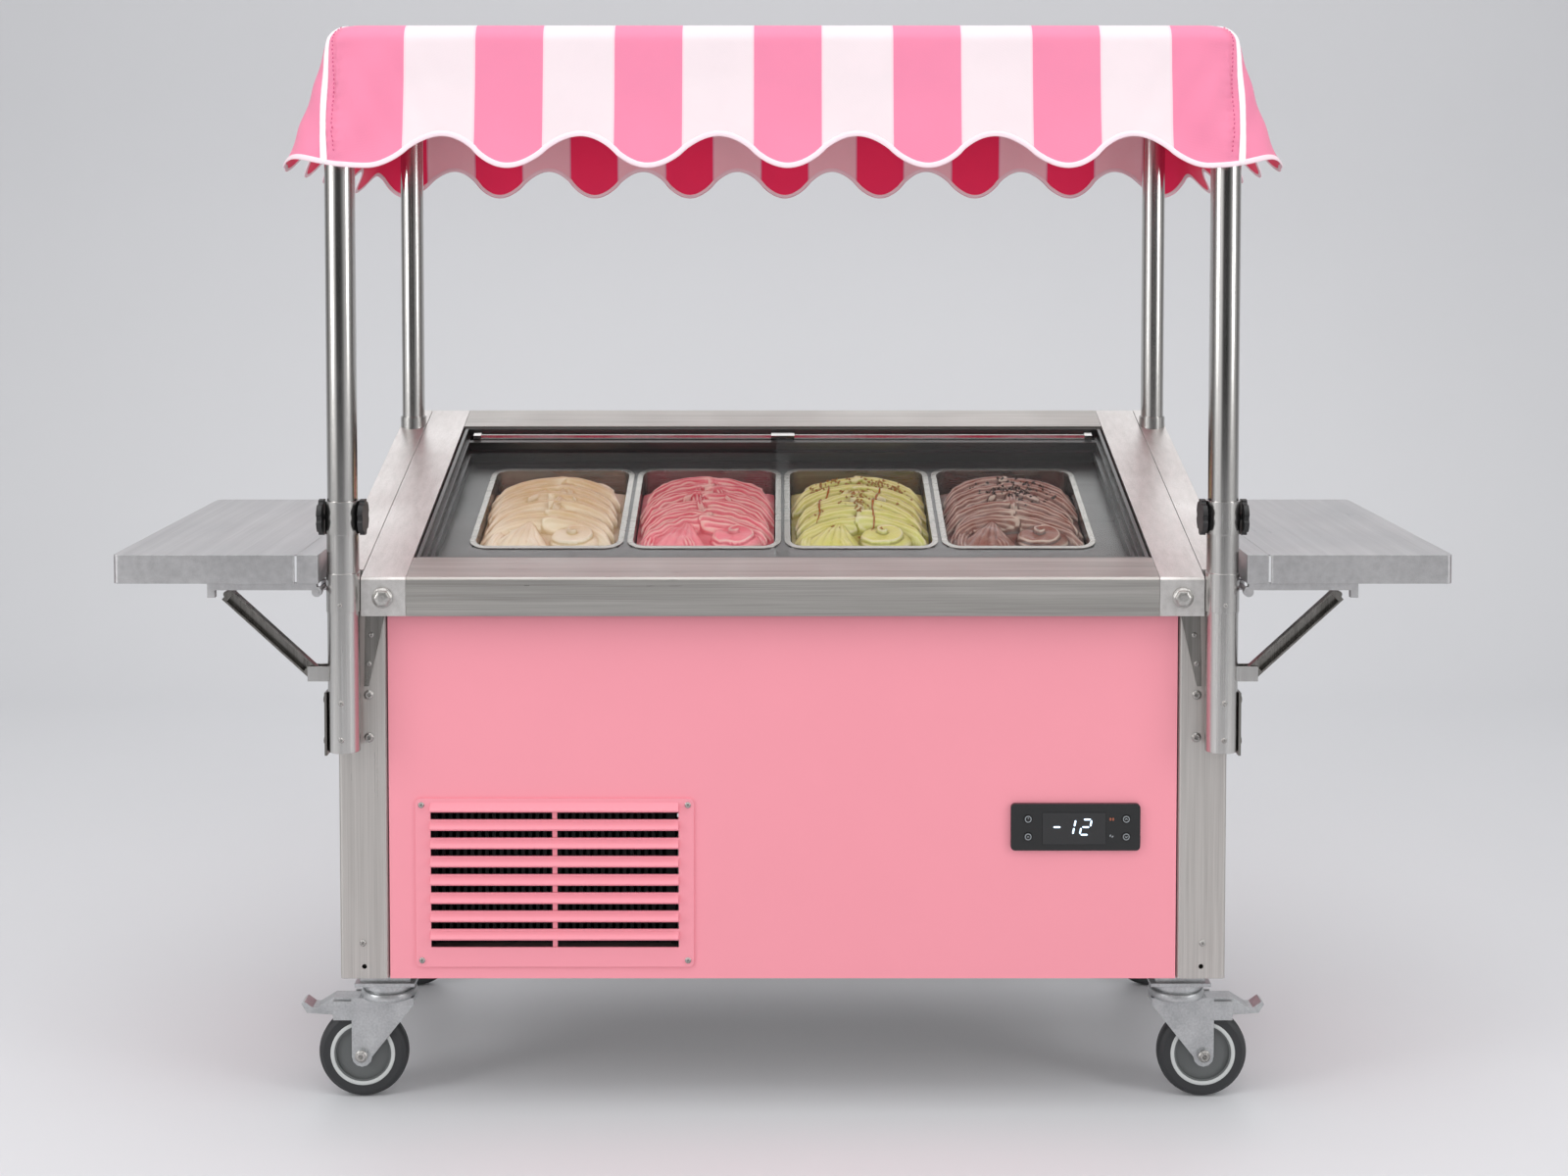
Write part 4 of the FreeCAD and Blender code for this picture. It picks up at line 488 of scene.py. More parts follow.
def canopy_fabric(name, pink, white, edge):
    """Striped canopy cloth: pink where the stripe coordinate is within a quarter of a whole number."""
    material, tree, shader = new_material(name)
    stripe = node_in(tree, "ShaderNodeAttribute", attribute_name="stripe").outputs["Fac"]
    off = math_in(tree, "PINGPONG", stripe, 0.5)
    is_white = math_in(tree, "GREATER_THAN", off, 0.25)
    at_edge = math_in(tree, "LESS_THAN", math_in(tree, "ABSOLUTE", math_in(tree, "SUBTRACT", off, 0.25)), 0.007)
    marks = node_in(tree, "ShaderNodeGroup", node_tree=SMUDGE)
    marks.inputs["Size"].default_value = 9.0
    cloth = mix_in(tree, is_white, pink, white)
    cloth = mix_in(tree, at_edge, cloth, edge)
    tone = range_in(tree, marks.outputs["Cloud"], 0.3, 0.7, 0.97, 1.0)
    shaded = mix_in(tree, 1.0, cloth, node_in(tree, "ShaderNodeCombineColor", {0: tone, 1: tone, 2: tone}).outputs[0],
                    "MULTIPLY")
    tree.links.new(shaded, shader.inputs["Base Color"])
    shader.inputs["Roughness"].default_value = 0.62
    shader.inputs["Sheen Weight"].default_value = 0.15
    weave = node_in(tree, "ShaderNodeGroup", node_tree=WEAVE)
    tree.links.new(bumped(tree, weave.outputs[0], 0.0001, 0.5), shader.inputs["Normal"])
    glow = node_in(tree, "ShaderNodeBsdfTranslucent", {"Color": shaded})
    mixed = node_in(tree, "ShaderNodeMixShader", {0: 0.26, 1: shader.outputs[0], 2: glow.outputs[0]})
    tree.links.new(mixed.outputs[0], tree.nodes["Material Output"].inputs["Surface"])
    return material


fabric_out = canopy_fabric("canopy cloth", shade(249, 150, 186), shade(249, 240, 244), shade(255, 232, 240))
# Inner side of the same cloth: the deeper pinks and pinkish whites are painted light shining through the cloth,
# together with the shade beneath it.
fabric_in_painted_glow = canopy_fabric("canopy inner side with painted light through the cloth", shade(252, 44, 106), shade(250, 206, 214), shade(236, 160, 186))
tape = plain("pale hem tape", shade(243, 218, 226), 0.6, cloud=0.04, bump=0.0001, bevel=0.0)


def make_canopy():
    rows, kinds = canopy_rows()
    count = len(AROUND)
    points = to_row(rows)
    faces = grid_faces(len(rows), count, wrap=True, flip=True)
    piece = add_piece("canopy_cover", points, faces, "canopy", [fabric_out, fabric_in_painted_glow])
    mesh = piece.data
    x = rows[..., 0]
    rear = (AROUND[:, 3] > 0.35)[None, :] & (kinds >= 2)[:, None]
    loops = np.empty(len(mesh.loops), int)
    mesh.loops.foreach_get("vertex_index", loops)
    row_of, column_of = loops // count, loops % count
    face_row = np.repeat(np.minimum.reduceat(row_of, np.arange(0, len(loops), 4)), 4)
    face_rear = np.repeat(np.logical_and.reduceat(rear[np.minimum(row_of, len(rows) - 1), column_of],
                                                  np.arange(0, len(loops), 4)), 4)
    place = x[row_of, column_of]
    front_stripe = np.clip((place - FRONT_SHIFT) / FRONT_PITCH, -3, 3)
    rear_stripe = np.clip((place - REAR_SHIFT) / REAR_PITCH, -4, 4)
    stripe = mesh.attributes.new("stripe", "FLOAT", "CORNER")
    stripe.data.foreach_set("value", np.where(face_rear, rear_stripe, front_stripe))
    flat = np.cumsum(np.linalg.norm(np.diff(rows, axis=0, prepend=rows[:1]), axis=2), axis=0) * MM
    span = np.cumsum(np.linalg.norm(np.diff(rows[-1], axis=0, prepend=rows[-1][:1]), axis=1)) * MM
    uv = mesh.uv_layers.new(name="flat")
    uv.data.foreach_set("uv", np.stack([span[column_of], flat[row_of, column_of]], -1).ravel())
    shell = bmesh.new()
    shell.from_mesh(mesh)
    bmesh.ops.remove_doubles(shell, verts=shell.verts, dist=1e-6)
    shell.to_mesh(mesh)
    shell.free()
    thick = piece.modifiers.new("thickness", "SOLIDIFY")
    thick.thickness, thick.offset, thick.material_offset = 0.0012, -1.0, 1
    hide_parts("canopy_cloth")
    return piece, rows


def make_hem_tape(rows):
    """Binding: a flat oval carried along the hem, square to it in the cloth's surface."""
    hem, above = rows[-1], rows[-2]
    tangent = np.roll(hem, -1, 0) - np.roll(hem, 1, 0)
    tangent /= np.linalg.norm(tangent, axis=1)[:, None]
    up = above - hem
    out = np.cross(tangent, up)
    out /= np.linalg.norm(out, axis=1)[:, None]
    up = np.cross(out, tangent)
    angle = np.linspace(0, 2 * np.pi, 12, endpoint=False)
    high, thick = 4.4 * np.cos(angle), 1.7 * np.sin(angle)
    points = hem[:, None] + (high + 3.4)[None, :, None] * up[:, None] + thick[None, :, None] * out[:, None]
    count, ring = len(hem), 12
    points = np.concatenate([points, points[:1]])
    return add_piece("hem_binding", to_row(points).reshape(-1, 3), grid_faces(count + 1, ring, wrap=True), "canopy",
                     tape, merge=True)


def on_cover(rows, column, half):
    """Three points across the cover at a fractional column: half a width left, middle and half a width right."""
    count = rows.shape[1]
    low = int(math.floor(column)) % count
    share = column - math.floor(column)
    middle = rows[:, low] * (1 - share) + rows[:, (low + 1) % count] * share
    side = rows[:, (low + 1) % count] - rows[:, low]
    return middle, side / np.linalg.norm(side, axis=1)[:, None] * half


def corner_path(rows, kinds, corner, offset):
    """A line down the cover from the far end of the roof's corner to the near end of the hem's corner."""
    down = rows[int(np.argmax(kinds == 1)) + 1:]
    arc, first = COLUMNS[1], int(np.cumsum(COLUMNS)[2 * corner])
    near = first if corner in (0, 2) else first + arc
    way = 1 if corner in (0, 2) else -1
    spots = []
    for index in range(len(down)):
        share = index / (len(down) - 1)
        column = near + way * 0.8 * arc * (1 - share) ** 1.3
        middle, side = on_cover(down[index:index + 1], column, 1.0)
        spots.append((middle[0] + side[0] * offset * way, side[0]))
    path = np.array([spot for spot, _ in spots])
    side = np.array([spot for _, spot in spots])
    step = np.gradient(path, axis=0)
    out = np.cross(side, step)
    out /= np.linalg.norm(out, axis=1)[:, None]
    away = np.sign((out[:, :2] * path[:, :2]).sum(1) + 1e-9)
    return path, side, out * away[:, None], step


def make_corner_tapes(rows, kinds):
    """White tapes down the four corners: flat strips laid on the cover with a soft edge."""
    outline = np.array([(-5.6, -0.6), (-5.2, 1.2), (-2.0, 1.7), (2.0, 1.7), (5.2, 1.2), (5.6, -0.6)])
    parts = []
    for corner in range(4):
        path, side, out, _ = corner_path(rows, kinds, corner, 0.0)
        ring = (path[:, None] + outline[None, :, :1] * side[:, None] + outline[None, :, 1:] * out[:, None])
        ring = np.concatenate([ring[:1].mean(1, keepdims=True).repeat(6, 1), ring,
                               ring[-1:].mean(1, keepdims=True).repeat(6, 1)])
        parts.append((ring.reshape(-1, 3), grid_faces(len(ring), 6, wrap=True)))
    points, faces = joined(parts)
    return add_piece("corner_tapes", to_row(points), faces, "canopy", tape_white, merge=True)


def make_stitches(rows, kinds):
    """Stitching 17 mm beside each corner tape: a short flat bar between every two rows of the cover."""
    bars = []
    for corner in range(4):
        path, side, out, step = corner_path(rows, kinds, corner, -17.0)
        start, end = path[2:-2] + 0.15 * step[2:-2], path[2:-2] + 0.65 * step[2:-2]
        for a, b, across, lift in zip(start, end, side[2:-2], out[2:-2]):
            ring = [a - 0.7 * across - 0.4 * lift, a + 0.7 * across - 0.4 * lift, a + 0.7 * across + 0.9 * lift,
                    a - 0.7 * across + 0.9 * lift]
            ring += [point + (b - a) for point in ring]
            bars.append((np.array(ring), np.array([[0, 1, 5, 4], [1, 2, 6, 5], [2, 3, 7, 6], [3, 0, 4, 7],
                                                   [3, 2, 1, 0], [4, 5, 6, 7]])))
    points, faces = joined(bars)
    return add_piece("corner_stitching", to_row(points), faces, "canopy", stitch_thread, merge=True)


tape_white = plain("white corner tape", shade(250, 240, 244), 0.6, cloud=0.03, bump=0.0001, bevel=0.0)
cover, canopy_grid = make_canopy()
hem_tape = make_hem_tape(canopy_grid)
ROW_KINDS = canopy_rows()[1]
corner_tapes = make_corner_tapes(canopy_grid, ROW_KINDS)
stitching = make_stitches(canopy_grid, ROW_KINDS)


# Counter frame: across, along the slope from its front edge, out of its surface, in millimetres
SLOPE = math.radians(15.5)


def on_counter(across, along, out):
    across, along, out = np.broadcast_arrays(across, along, out)
    return np.stack([across, -340 + along * math.cos(SLOPE) - out * math.sin(SLOPE),
                     898 + along * math.sin(SLOPE) + out * math.cos(SLOPE)], -1) * MM


# Ice cream: a height field over the pan, closed by a wall and a floor
PAN_MIDDLE, PAN_RIM, HALF_WIDE, HALF_LONG, PAN_BEND = 396.0, -50.0, 121.0, 165.5, 22.0


def pan_edge(angle):
    """Edge of a round-cornered rectangle in one direction: a superellipse of power 6, kept inside the pan."""
    c, s = np.abs(np.cos(angle)) / HALF_WIDE, np.abs(np.sin(angle)) / HALF_LONG
    return 1 / (c ** 7 + s ** 7) ** (1 / 7)


def stroke(x, y, start, end, wide, high, bend, lean, ribs):
    """One spatula stroke: a leaf along a bent line, steep at its edges, higher on one side, with fine ribs."""
    sx, sy = start
    dx, dy = end[0] - sx, end[1] - sy
    length = math.hypot(dx, dy)
    along = ((x - sx) * dx + (y - sy) * dy) / length ** 2
    across = ((y - sy) * dx - (x - sx) * dy) / length + bend * 4 * along * (1 - along)
    half = wide * np.clip(np.sin(np.pi * np.clip(0.10 + 0.86 * along, 0, 1)), 0, 1) ** 0.6
    share = across / np.maximum(half, 1e-3)
    body = np.clip(1 - share ** 2, 0, 1) ** 0.42
    rib = ribs * np.sin(2 * np.pi * (across / 6.5 + 0.3 * np.sin(3 * along))) * body
    return np.where(body > 0, high * body * (1 + lean * share) * (1.04 - 0.34 * along) + rib, 0)


def swirl(x, y, cx, cy, radius, high, turns=1.6):
    """A round dollop: a dome whose lip winds inwards in one spiral with a sharp edge."""
    dx, dy = (x - cx) / radius, (y - cy) / (0.82 * radius)
    away, angle = np.hypot(dx, dy), np.arctan2(dy, dx)
    dome = np.clip(1 - away ** 2, 0, 1) ** 0.45
    lip = np.mod(angle / (2 * np.pi) + turns * away, 1.0)
    return np.where(dome > 0, high * dome + 9.0 * (lip ** 2.2 - 0.4) * dome, 0)


def fan(x, y, tip, foot, half_angle, high, blades=7):
    """A shell-like fan: blades spread from the tip towards the foot."""
    dx, dy = foot[0] - tip[0], foot[1] - tip[1]
    length, head = math.hypot(dx, dy), math.atan2(dy, dx)
    away = np.hypot(x - tip[0], y - tip[1]) / length
    angle = np.mod(np.arctan2(y - tip[1], x - tip[0]) - head + np.pi, 2 * np.pi) - np.pi
    open_share = angle / half_angle
    body = np.sqrt(np.clip(1 - open_share ** 2, 0, 1)) * np.sqrt(np.clip(1 - (away - 0.45) ** 2 / 0.36, 0, 1))
    ridge = np.abs(np.sin(open_share * blades * np.pi / 2)) * 2.6 * np.clip(away * 1.6, 0, 1)
    return np.where(body > 0, high * body + ridge * body, 0)


def leaves(rng):
    """Strokes from the back of the mound to its front, left and right of a spine: start, end, width, height, bend."""
    made = []
    for row in range(6):
        y = 104 - 34 * row
        for side in (-1, 1):
            start = (side * rng.uniform(0, 12), y + rng.uniform(-8, 8))
            end = (side * rng.uniform(104, 124), y - rng.uniform(58, 88) + 14 * (row > 3))
            made.append((start, end, rng.uniform(15, 21), 30 - 1.2 * row + rng.uniform(-3, 3),
                         -side * rng.uniform(8, 24), side * rng.uniform(0.3, 0.5)))
    for x in (-62, 64):
        made.append(((x * 0.5, 128 + rng.uniform(-6, 6)), (x * 1.5, 96 + rng.uniform(-8, 8)), 18, 21,
                     rng.uniform(-6, 6), 0.2))
    made.append(((rng.uniform(-8, 8), -8), (rng.uniform(-16, 16), 112), 20, 27, rng.uniform(-8, 8), 0.3))
    made.append(((rng.uniform(-46, -30), 30), (rng.uniform(-24, -10), 122), 16, 25, 6, -0.3))
    made.append(((rng.uniform(30, 46), 24), (rng.uniform(10, 26), 124), 17, 25, -6, 0.3))
    made.append(((-24, -166), (-70, -86), 22, 20, 8, -0.35))
    made.append(((-96, -160), (-84, -84), 20, 18, -6, 0.3))
    return made


def mound_height(x, y, seed, ribs):
    """A low dome plus, at each point, the highest of the strokes; it falls away to the walls, most to the back."""
    rng = np.random.default_rng(seed)
    side = np.clip(1 - (np.abs(x) / 130) ** 2.4, 0, 1) ** 0.5
    front = np.clip((y + 176) / 150, 0, 1) ** 0.6
    dome = 13 * side * front
    folds = np.zeros_like(x)
    for start, end, wide, high, bend, lean in leaves(rng):
        folds = np.maximum(folds, stroke(x, y, start, end, wide, high, bend, lean, ribs))
    shift = rng.uniform(-7, 7, 4)
    folds = np.maximum(folds, fan(x, y, (-30 + shift[0], -48), (-56, -158), 0.6, 21))
    folds = np.maximum(folds, swirl(x, y, 50 + shift[1], -106, 46, 24))
    folds = np.maximum(folds, swirl(x, y, 10 + shift[2], 6 + shift[3], 21, 26, 0.9))
    wall = np.minimum((124 - np.abs(x)) / 26, (167 - np.abs(y)) / 26)
    near_wall = np.clip(wall, 0, 1) ** 0.8
    wave = 0.8 * np.sin(x / 6 + 2 * np.sin(y / 13)) + 0.6 * np.sin(y / 5 + x / 11)
    total = -29 + dome + folds * (0.35 + 0.65 * near_wall) + wave * near_wall * ribs
    total = total - 34 * np.clip((y - 104) / 61, 0, 1) ** 1.5
    return np.where(total > 8, 8 + 6 * np.tanh((total - 8) / 6), total)


def ice_cream(name, centre, material, seed, ribs):
    """Rings from the middle to the pan's wall carry the height field; more rings go down the wall and close below."""
    angle = np.linspace(0, 2 * np.pi, 440, endpoint=False)
    edge = pan_edge(angle)
    ring = np.linspace(0, 1, 184) ** 0.85
    x, y = ring[:, None] * edge * np.cos(angle), ring[:, None] * edge * np.sin(angle)
    high = mound_height(x, y, seed, ribs)
    floor_share = np.array([1.0, 1.0, 0.0])
    fx, fy = floor_share[:, None] * x[-1], floor_share[:, None] * y[-1]
    low = np.broadcast_to(np.array([-60.0, -112.0, -112.0])[:, None], fx.shape)
    x, y, high = np.concatenate([x, fx]), np.concatenate([y, fy]), np.concatenate([high, low])
    points = on_counter(centre + x, PAN_MIDDLE + y, PAN_RIM + high)
    piece = add_piece("scooped_" + name, points.reshape(-1, 3), grid_faces(len(x), len(angle), wrap=True), "cart",
                      material, merge=True)
    places = np.empty(3 * len(piece.data.vertices))
    piece.data.vertices.foreach_get("co", places)
    px, py, pz = places.reshape(-1, 3).T / MM
    flat_y = (py + 340) * math.cos(SLOPE) + (pz - 898) * math.sin(SLOPE) - PAN_MIDDLE
    flat_x = px - centre
    # Curvature of the height field, stored as the crease attribute: frozen() paints shade into the hollows and a
    # highlight on the ridges from it.
    bend = -4 * mound_height(flat_x, flat_y, seed, ribs)
    for dx, dy in ((2.5, 0), (-2.5, 0), (0, 2.5), (0, -2.5)):
        bend = bend + mound_height(flat_x + dx, flat_y + dy, seed, ribs)
    crease = piece.data.attributes.new("crease", "FLOAT", "POINT")
    crease.data.foreach_set("value", np.clip(bend / 9, -1, 1))
    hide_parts("ice_cream_" + name)
    return piece


def frozen(name, colour, deep, gloss=0.42):
    """Ice cream: soft light under the skin, painted shade in the creases and a painted highlight on the ridges, fine
    icy speckle.
    """
    material, tree, shader = new_material(name)
    marks = node_in(tree, "ShaderNodeGroup", node_tree=SMUDGE)
    marks.inputs["Size"].default_value = 40.0
    # Painted shade: ambient occlusion mixes the colour towards the darker colour in the creases.
    crease = node_in(tree, "ShaderNodeAmbientOcclusion", {"Distance": 0.022}, samples=6).outputs["AO"]
    tone = range_in(tree, crease, 0.25, 0.95, 0.0, 1.0)
    # Painted shade towards the darker colour in the hollows of the crease attribute, and a painted highlight colour on
    # its ridges.
    bend = node_in(tree, "ShaderNodeAttribute", attribute_name="crease").outputs["Fac"]
    hollow_shade = range_in(tree, bend, 0.02, 0.7, 0.0, 0.95)
    ridge = range_in(tree, bend, -0.6, -0.05, 0.45, 0.0)
    base = mix_in(tree, hollow_shade, mix_in(tree, tone, deep, colour), deep)
    base = mix_in(tree, ridge, base, shade(255, 244, 226))
    spot = range_in(tree, marks.outputs["Cloud"], 0.35, 0.65, 0.0, 0.12)
    tree.links.new(mix_in(tree, spot, base, shade(255, 250, 240)), shader.inputs["Base Color"])
    shader.inputs["Roughness"].default_value = gloss
    shader.inputs["Subsurface Weight"].default_value = 0.06
    shader.inputs["Subsurface Radius"].default_value = (0.004, 0.003, 0.002)
    shader.inputs["Subsurface Scale"].default_value = 1.0
    tree.links.new(bumped(tree, marks.outputs["Speckle"], 0.00025, 0.6), shader.inputs["Normal"])
    return material


# Each flavour: its colour and a darker colour that is painted as shade into its creases.
FLAVOURS = (
    ("vanilla", -408, frozen("vanilla ice cream", shade(240, 228, 200), shade(206, 178, 128)), 11, 0.5),
    ("strawberry", -136, frozen("strawberry ice cream", shade(244, 138, 150), shade(206, 70, 88)), 23, 1.5),
    ("pistachio", 136, frozen("pistachio ice cream", shade(214, 216, 120), shade(150, 146, 40)), 35, 0.6),
    ("chocolate", 408, frozen("chocolate ice cream", shade(134, 84, 68), shade(66, 30, 20), 0.34), 47, 0.8),
)
for flavour, centre, material, seed, ribs in FLAVOURS:
    ice_cream(flavour, centre, material, seed, ribs)


def crumbs(name, centre, seed, places, sizes, material, flat, ribs):
    """Scattered bits on a mound: squashed eight-sided grains with uneven corners, turned at random."""
    rng = np.random.default_rng(seed)
    x, y = places(rng)
    count = len(x)
    high = mound_height(x, y, seed, ribs)
    corner = np.array([[1, 0, 0], [-1, 0, 0], [0, 1, 0], [0, -1, 0], [0, 0, 1], [0, 0, -1]], float)
    shape = corner[None] * rng.uniform(0.6, 1.0, (count, 6, 1)) * rng.uniform(*sizes, (count, 1, 1))
    shape = shape + rng.uniform(-0.25, 0.25, (count, 6, 3)) * sizes[0]
    angle, lean = rng.uniform(0, 2 * np.pi, (2, count))
    c, s = np.cos(angle)[:, None], np.sin(angle)[:, None]
    a, b, d = shape[..., 0], shape[..., 1] * flat, shape[..., 2]
    a, b = a * c - b * s, a * s + b * c
    tilt = np.cos(lean)[:, None] * 0.9
    d = d + tilt * a * 0.6
    points = on_counter(centre + x[:, None] + a, PAN_MIDDLE + y[:, None] + b, PAN_RIM + high[:, None] + d + 0.6)
    face = np.array([[0, 2, 4], [2, 1, 4], [1, 3, 4], [3, 0, 4], [2, 0, 5], [1, 2, 5], [3, 1, 5], [0, 3, 5]])
    faces = (face[None] + 6 * np.arange(count)[:, None, None]).reshape(-1, 3)
    return add_piece(name, points.reshape(-1, 3), faces, "cart", material, smooth=False)


def nut_places(rng):
    """An arc along the back of the mound, a wedge down its middle and a few strays."""
    turn = rng.uniform(0.12, 0.88, 150) * np.pi
    arc_x, arc_y = 88 * np.cos(turn), 34 + 62 * np.sin(turn)
    wedge_y = rng.uniform(-40, 60, 110)
    wedge_x = rng.normal(0, 1, 110) * (5 + (wedge_y + 40) * 0.10)
    stray_x, stray_y = rng.uniform(-95, 95, 40), rng.uniform(-110, 110, 40)
    jitter = rng.normal(0, 5, (2, 300))
    return (np.concatenate([arc_x, wedge_x, stray_x]) + jitter[0],
            np.concatenate([arc_y, wedge_y, stray_y]) + jitter[1])


def chip_places(rng):
    """A loose heap right of the middle at the back of the mound, thinning out."""
    return 14 + rng.normal(0, 34, 190), 62 + rng.normal(0, 30, 190)


nut_brown = plain("chopped nuts", shade(176, 124, 48), 0.5, cloud=0.4, bevel=0.0)
chip_brown = plain("chocolate chips", shade(52, 26, 16), 0.35, cloud=0.3, bevel=0.0)
caramel = plain("caramel sauce", shade(170, 96, 20), 0.15, cloud=0.2, bevel=0.0, coat=0.5)
crumbs("pistachio_nuts", 136, 35, nut_places, (1.6, 4.4), nut_brown, 0.75, 0.6)
crumbs("chocolate_chips", 408, 47, chip_places, (2.0, 5.5), chip_brown, 0.45, 0.8)


def caramel_thread(name, start, end):
    """A thin thread of sauce over the pistachio mound, beaded: radius 1.5 plus a slow wave along it."""
    along = np.linspace(0, 1, 60)
    x = start[0] + (end[0] - start[0]) * along + 4 * np.sin(along * 9)
    y = start[1] + (end[1] - start[1]) * along
    high = mound_height(x, y, 35, 0.6)
    path = on_counter(136 + x, PAN_MIDDLE + y, PAN_RIM + high + 0.8) / MM
    angle = np.linspace(0, 2 * np.pi, 10, endpoint=False)
    points, side, ups = carried(path, np.stack([np.cos(angle), np.sin(angle)], 1), closed=False)
    radius = (1.5 + 0.8 * np.sin(along * 23) ** 2) * np.sqrt(np.clip(np.sin(np.pi * (0.02 + 0.96 * along)), 0, 1))
    points = path[:, None] + radius[:, None, None] * (points - path[:, None])
    points = np.concatenate([path[:1, None].repeat(10, 1), points, path[-1:, None].repeat(10, 1)])
    return add_piece(name, points.reshape(-1, 3) * MM, grid_faces(len(points), 10, wrap=True), "cart", caramel,
                     merge=True)


caramel_thread("caramel_left", (-52, 84), (-78, -60))
caramel_thread("caramel_right", (40, 92), (18, -96))


# Screw and bolt heads
def screw_head(place, axis, radius, sides=0, recess=True):
    """A flat washer, a domed head and a sunk drive, turned about the screw's axis."""
    r = radius
    profile = [(0, 0), (r, 0), (r, 0.12 * r), (0.96 * r, 0.18 * r), (0.78 * r, 0.18 * r), (0.76 * r, 0.46 * r),
               (0.66 * r, 0.56 * r), (0.4 * r, 0.6 * r)]
    if recess:
        profile += [(0.36 * r, 0.56 * r), (0.33 * r, 0.2 * r), (0, 0.18 * r)]
    else:
        profile += [(0, 0.62 * r)]

    def ripple(shape, angle):
        hexed = 1 / np.cos(np.mod(angle, np.pi / 3) - np.pi / 6) * 0.94
        inner = (shape[:, 0] < 0.38 * r) | ((shape[:, 0] < 0.9 * r) & (sides == 6))
        return np.where(inner[:, None], hexed[None, :], 1.0)

    return turned(np.array(profile), place, axis, 36, ripple)


def make_heads():
    fixed = []
    for side in (1, -1):
        for x, z, radius, seat in ((674, 701, 8, 0), (674, 631, 8, 0), (673, 753, 4.5, 4), (669, 800, 4.5, 4),
                                   (687, 291, 5.5, 0)):
            fixed.append(screw_head((side * x, -310 - seat, z), (0, -1, 0), radius))
        fixed.append(screw_head((side * 645, -340, 866), (0, -1, 0), 17, sides=6, recess=False))
        fixed.append(screw_head((side * 645, -343.5, 866), (0, -1, 0), 11, sides=6))
        for z in (640, 700, 858):
            fixed.append(screw_head((side * 708, -365.6, z), (0, -1, 0), 4.5))
        fixed.append(screw_head((side * 729, -180, 1010 - 30), (side, 0, 0), 5))
    for x in (-590, -155):
        for z in (263, 520):
            fixed.append(screw_head((x, -312, z), (0, -1, 0), 5))
    points, faces = joined([(p, f) for p, f in fixed])
    piece = add_piece("screw_heads", points * MM, faces, "cart", bolt_steel, merge=True)
    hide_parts("fasteners")
    return piece


make_heads()


def ring_on(name, centre, axis, radius, half, thick, material, body, count=64):
    """A flat ring: a small rounded rectangle turned about an axis."""
    profile = np.array([(radius - half, 0), (radius - half, thick * 0.8), (radius - half * 0.6, thick),
                        (radius + half * 0.6, thick), (radius + half, thick * 0.8), (radius + half, 0),
                        (radius - half, 0)])
    points, faces = turned(profile, centre, axis, count)
    return add_piece(name, points * MM, faces, body, material, merge=True)


def wheel_details():
    """Pale rings where the tyre meets the hub, bolt heads on the axles and a bright lip round each swivel head."""
    for corner, (side, y) in {"front_left": (-1, -215), "front_right": (1, -215), "rear_left": (-1, 292),
                              "rear_right": (1, 292)}.items():
        for face in (-1, 1):
            ring_on("hub_ring_%s_%s" % (corner, "outer" if face < 0 else "inner"), (side * 705, y + face * 13.4, 75),
                    (0, face, 0), 51, 3.2, 2.6, ring_grey, "wheel_" + corner)
            points, faces = screw_head((side * 705, y + face * 27.5, 75), (0, face, 0), 10.5, sides=6)
            add_piece("axle_bolt_%s_%s" % (corner, "front" if face < 0 else "back"), points * MM, faces,
                      "fork_" + corner, bolt_steel, merge=True)
        profile = np.array([(44.2, 172), (46.2, 173.5), (46.6, 178), (45.6, 183), (44.2, 185.2), (42.5, 185.2),
                            (42.5, 172), (44.2, 172)])
        points, faces = turned(profile, (side * 662, y, 0), (0, 0, 1), 72)
        add_piece("swivel_lip_" + corner, points * MM, faces, "fork_" + corner, zinc, merge=True)


wheel_details()


# Controller: lit digits, and printed rings on the buttons
def lit(name, colour, strength):
    material, tree, shader = new_material(name)
    shader.inputs["Base Color"].default_value = colour
    shader.inputs["Emission Color"].default_value = colour
    shader.inputs["Emission Strength"].default_value = strength
    return material


def flat_bar(start, end, half, front, thick=0.6):
    """A slim bar on the controller's face with pointed ends, from one (x, z) to another."""
    (x0, z0), (x1, z1) = start, end
    length = math.hypot(x1 - x0, z1 - z0)
    ux, uz = (x1 - x0) / length, (z1 - z0) / length
    outline = np.array([(0, 0), (half, half), (length - half, half), (length, 0), (length - half, -half),
                        (half, -half)])
    x = x0 + outline[:, 0] * ux - outline[:, 1] * uz
    z = z0 + outline[:, 0] * uz + outline[:, 1] * ux
    ring = np.stack([x, np.full(6, front), z], 1)
    middle = ring.mean(0)
    rows = np.array([np.repeat([middle], 6, 0), ring, ring - [0, thick, 0], np.repeat([middle - [0, thick, 0]], 6, 0)])
    return rows.reshape(-1, 3), grid_faces(4, 6, wrap=True)


SEGMENTS = {"top": ((0, 2), (1, 2)), "upper right": ((1, 2), (1, 1)), "lower right": ((1, 1), (1, 0)),
            "bottom": ((0, 0), (1, 0)), "lower left": ((0, 1), (0, 0)), "upper left": ((0, 2), (0, 1)),
            "middle": ((0, 1), (1, 1))}


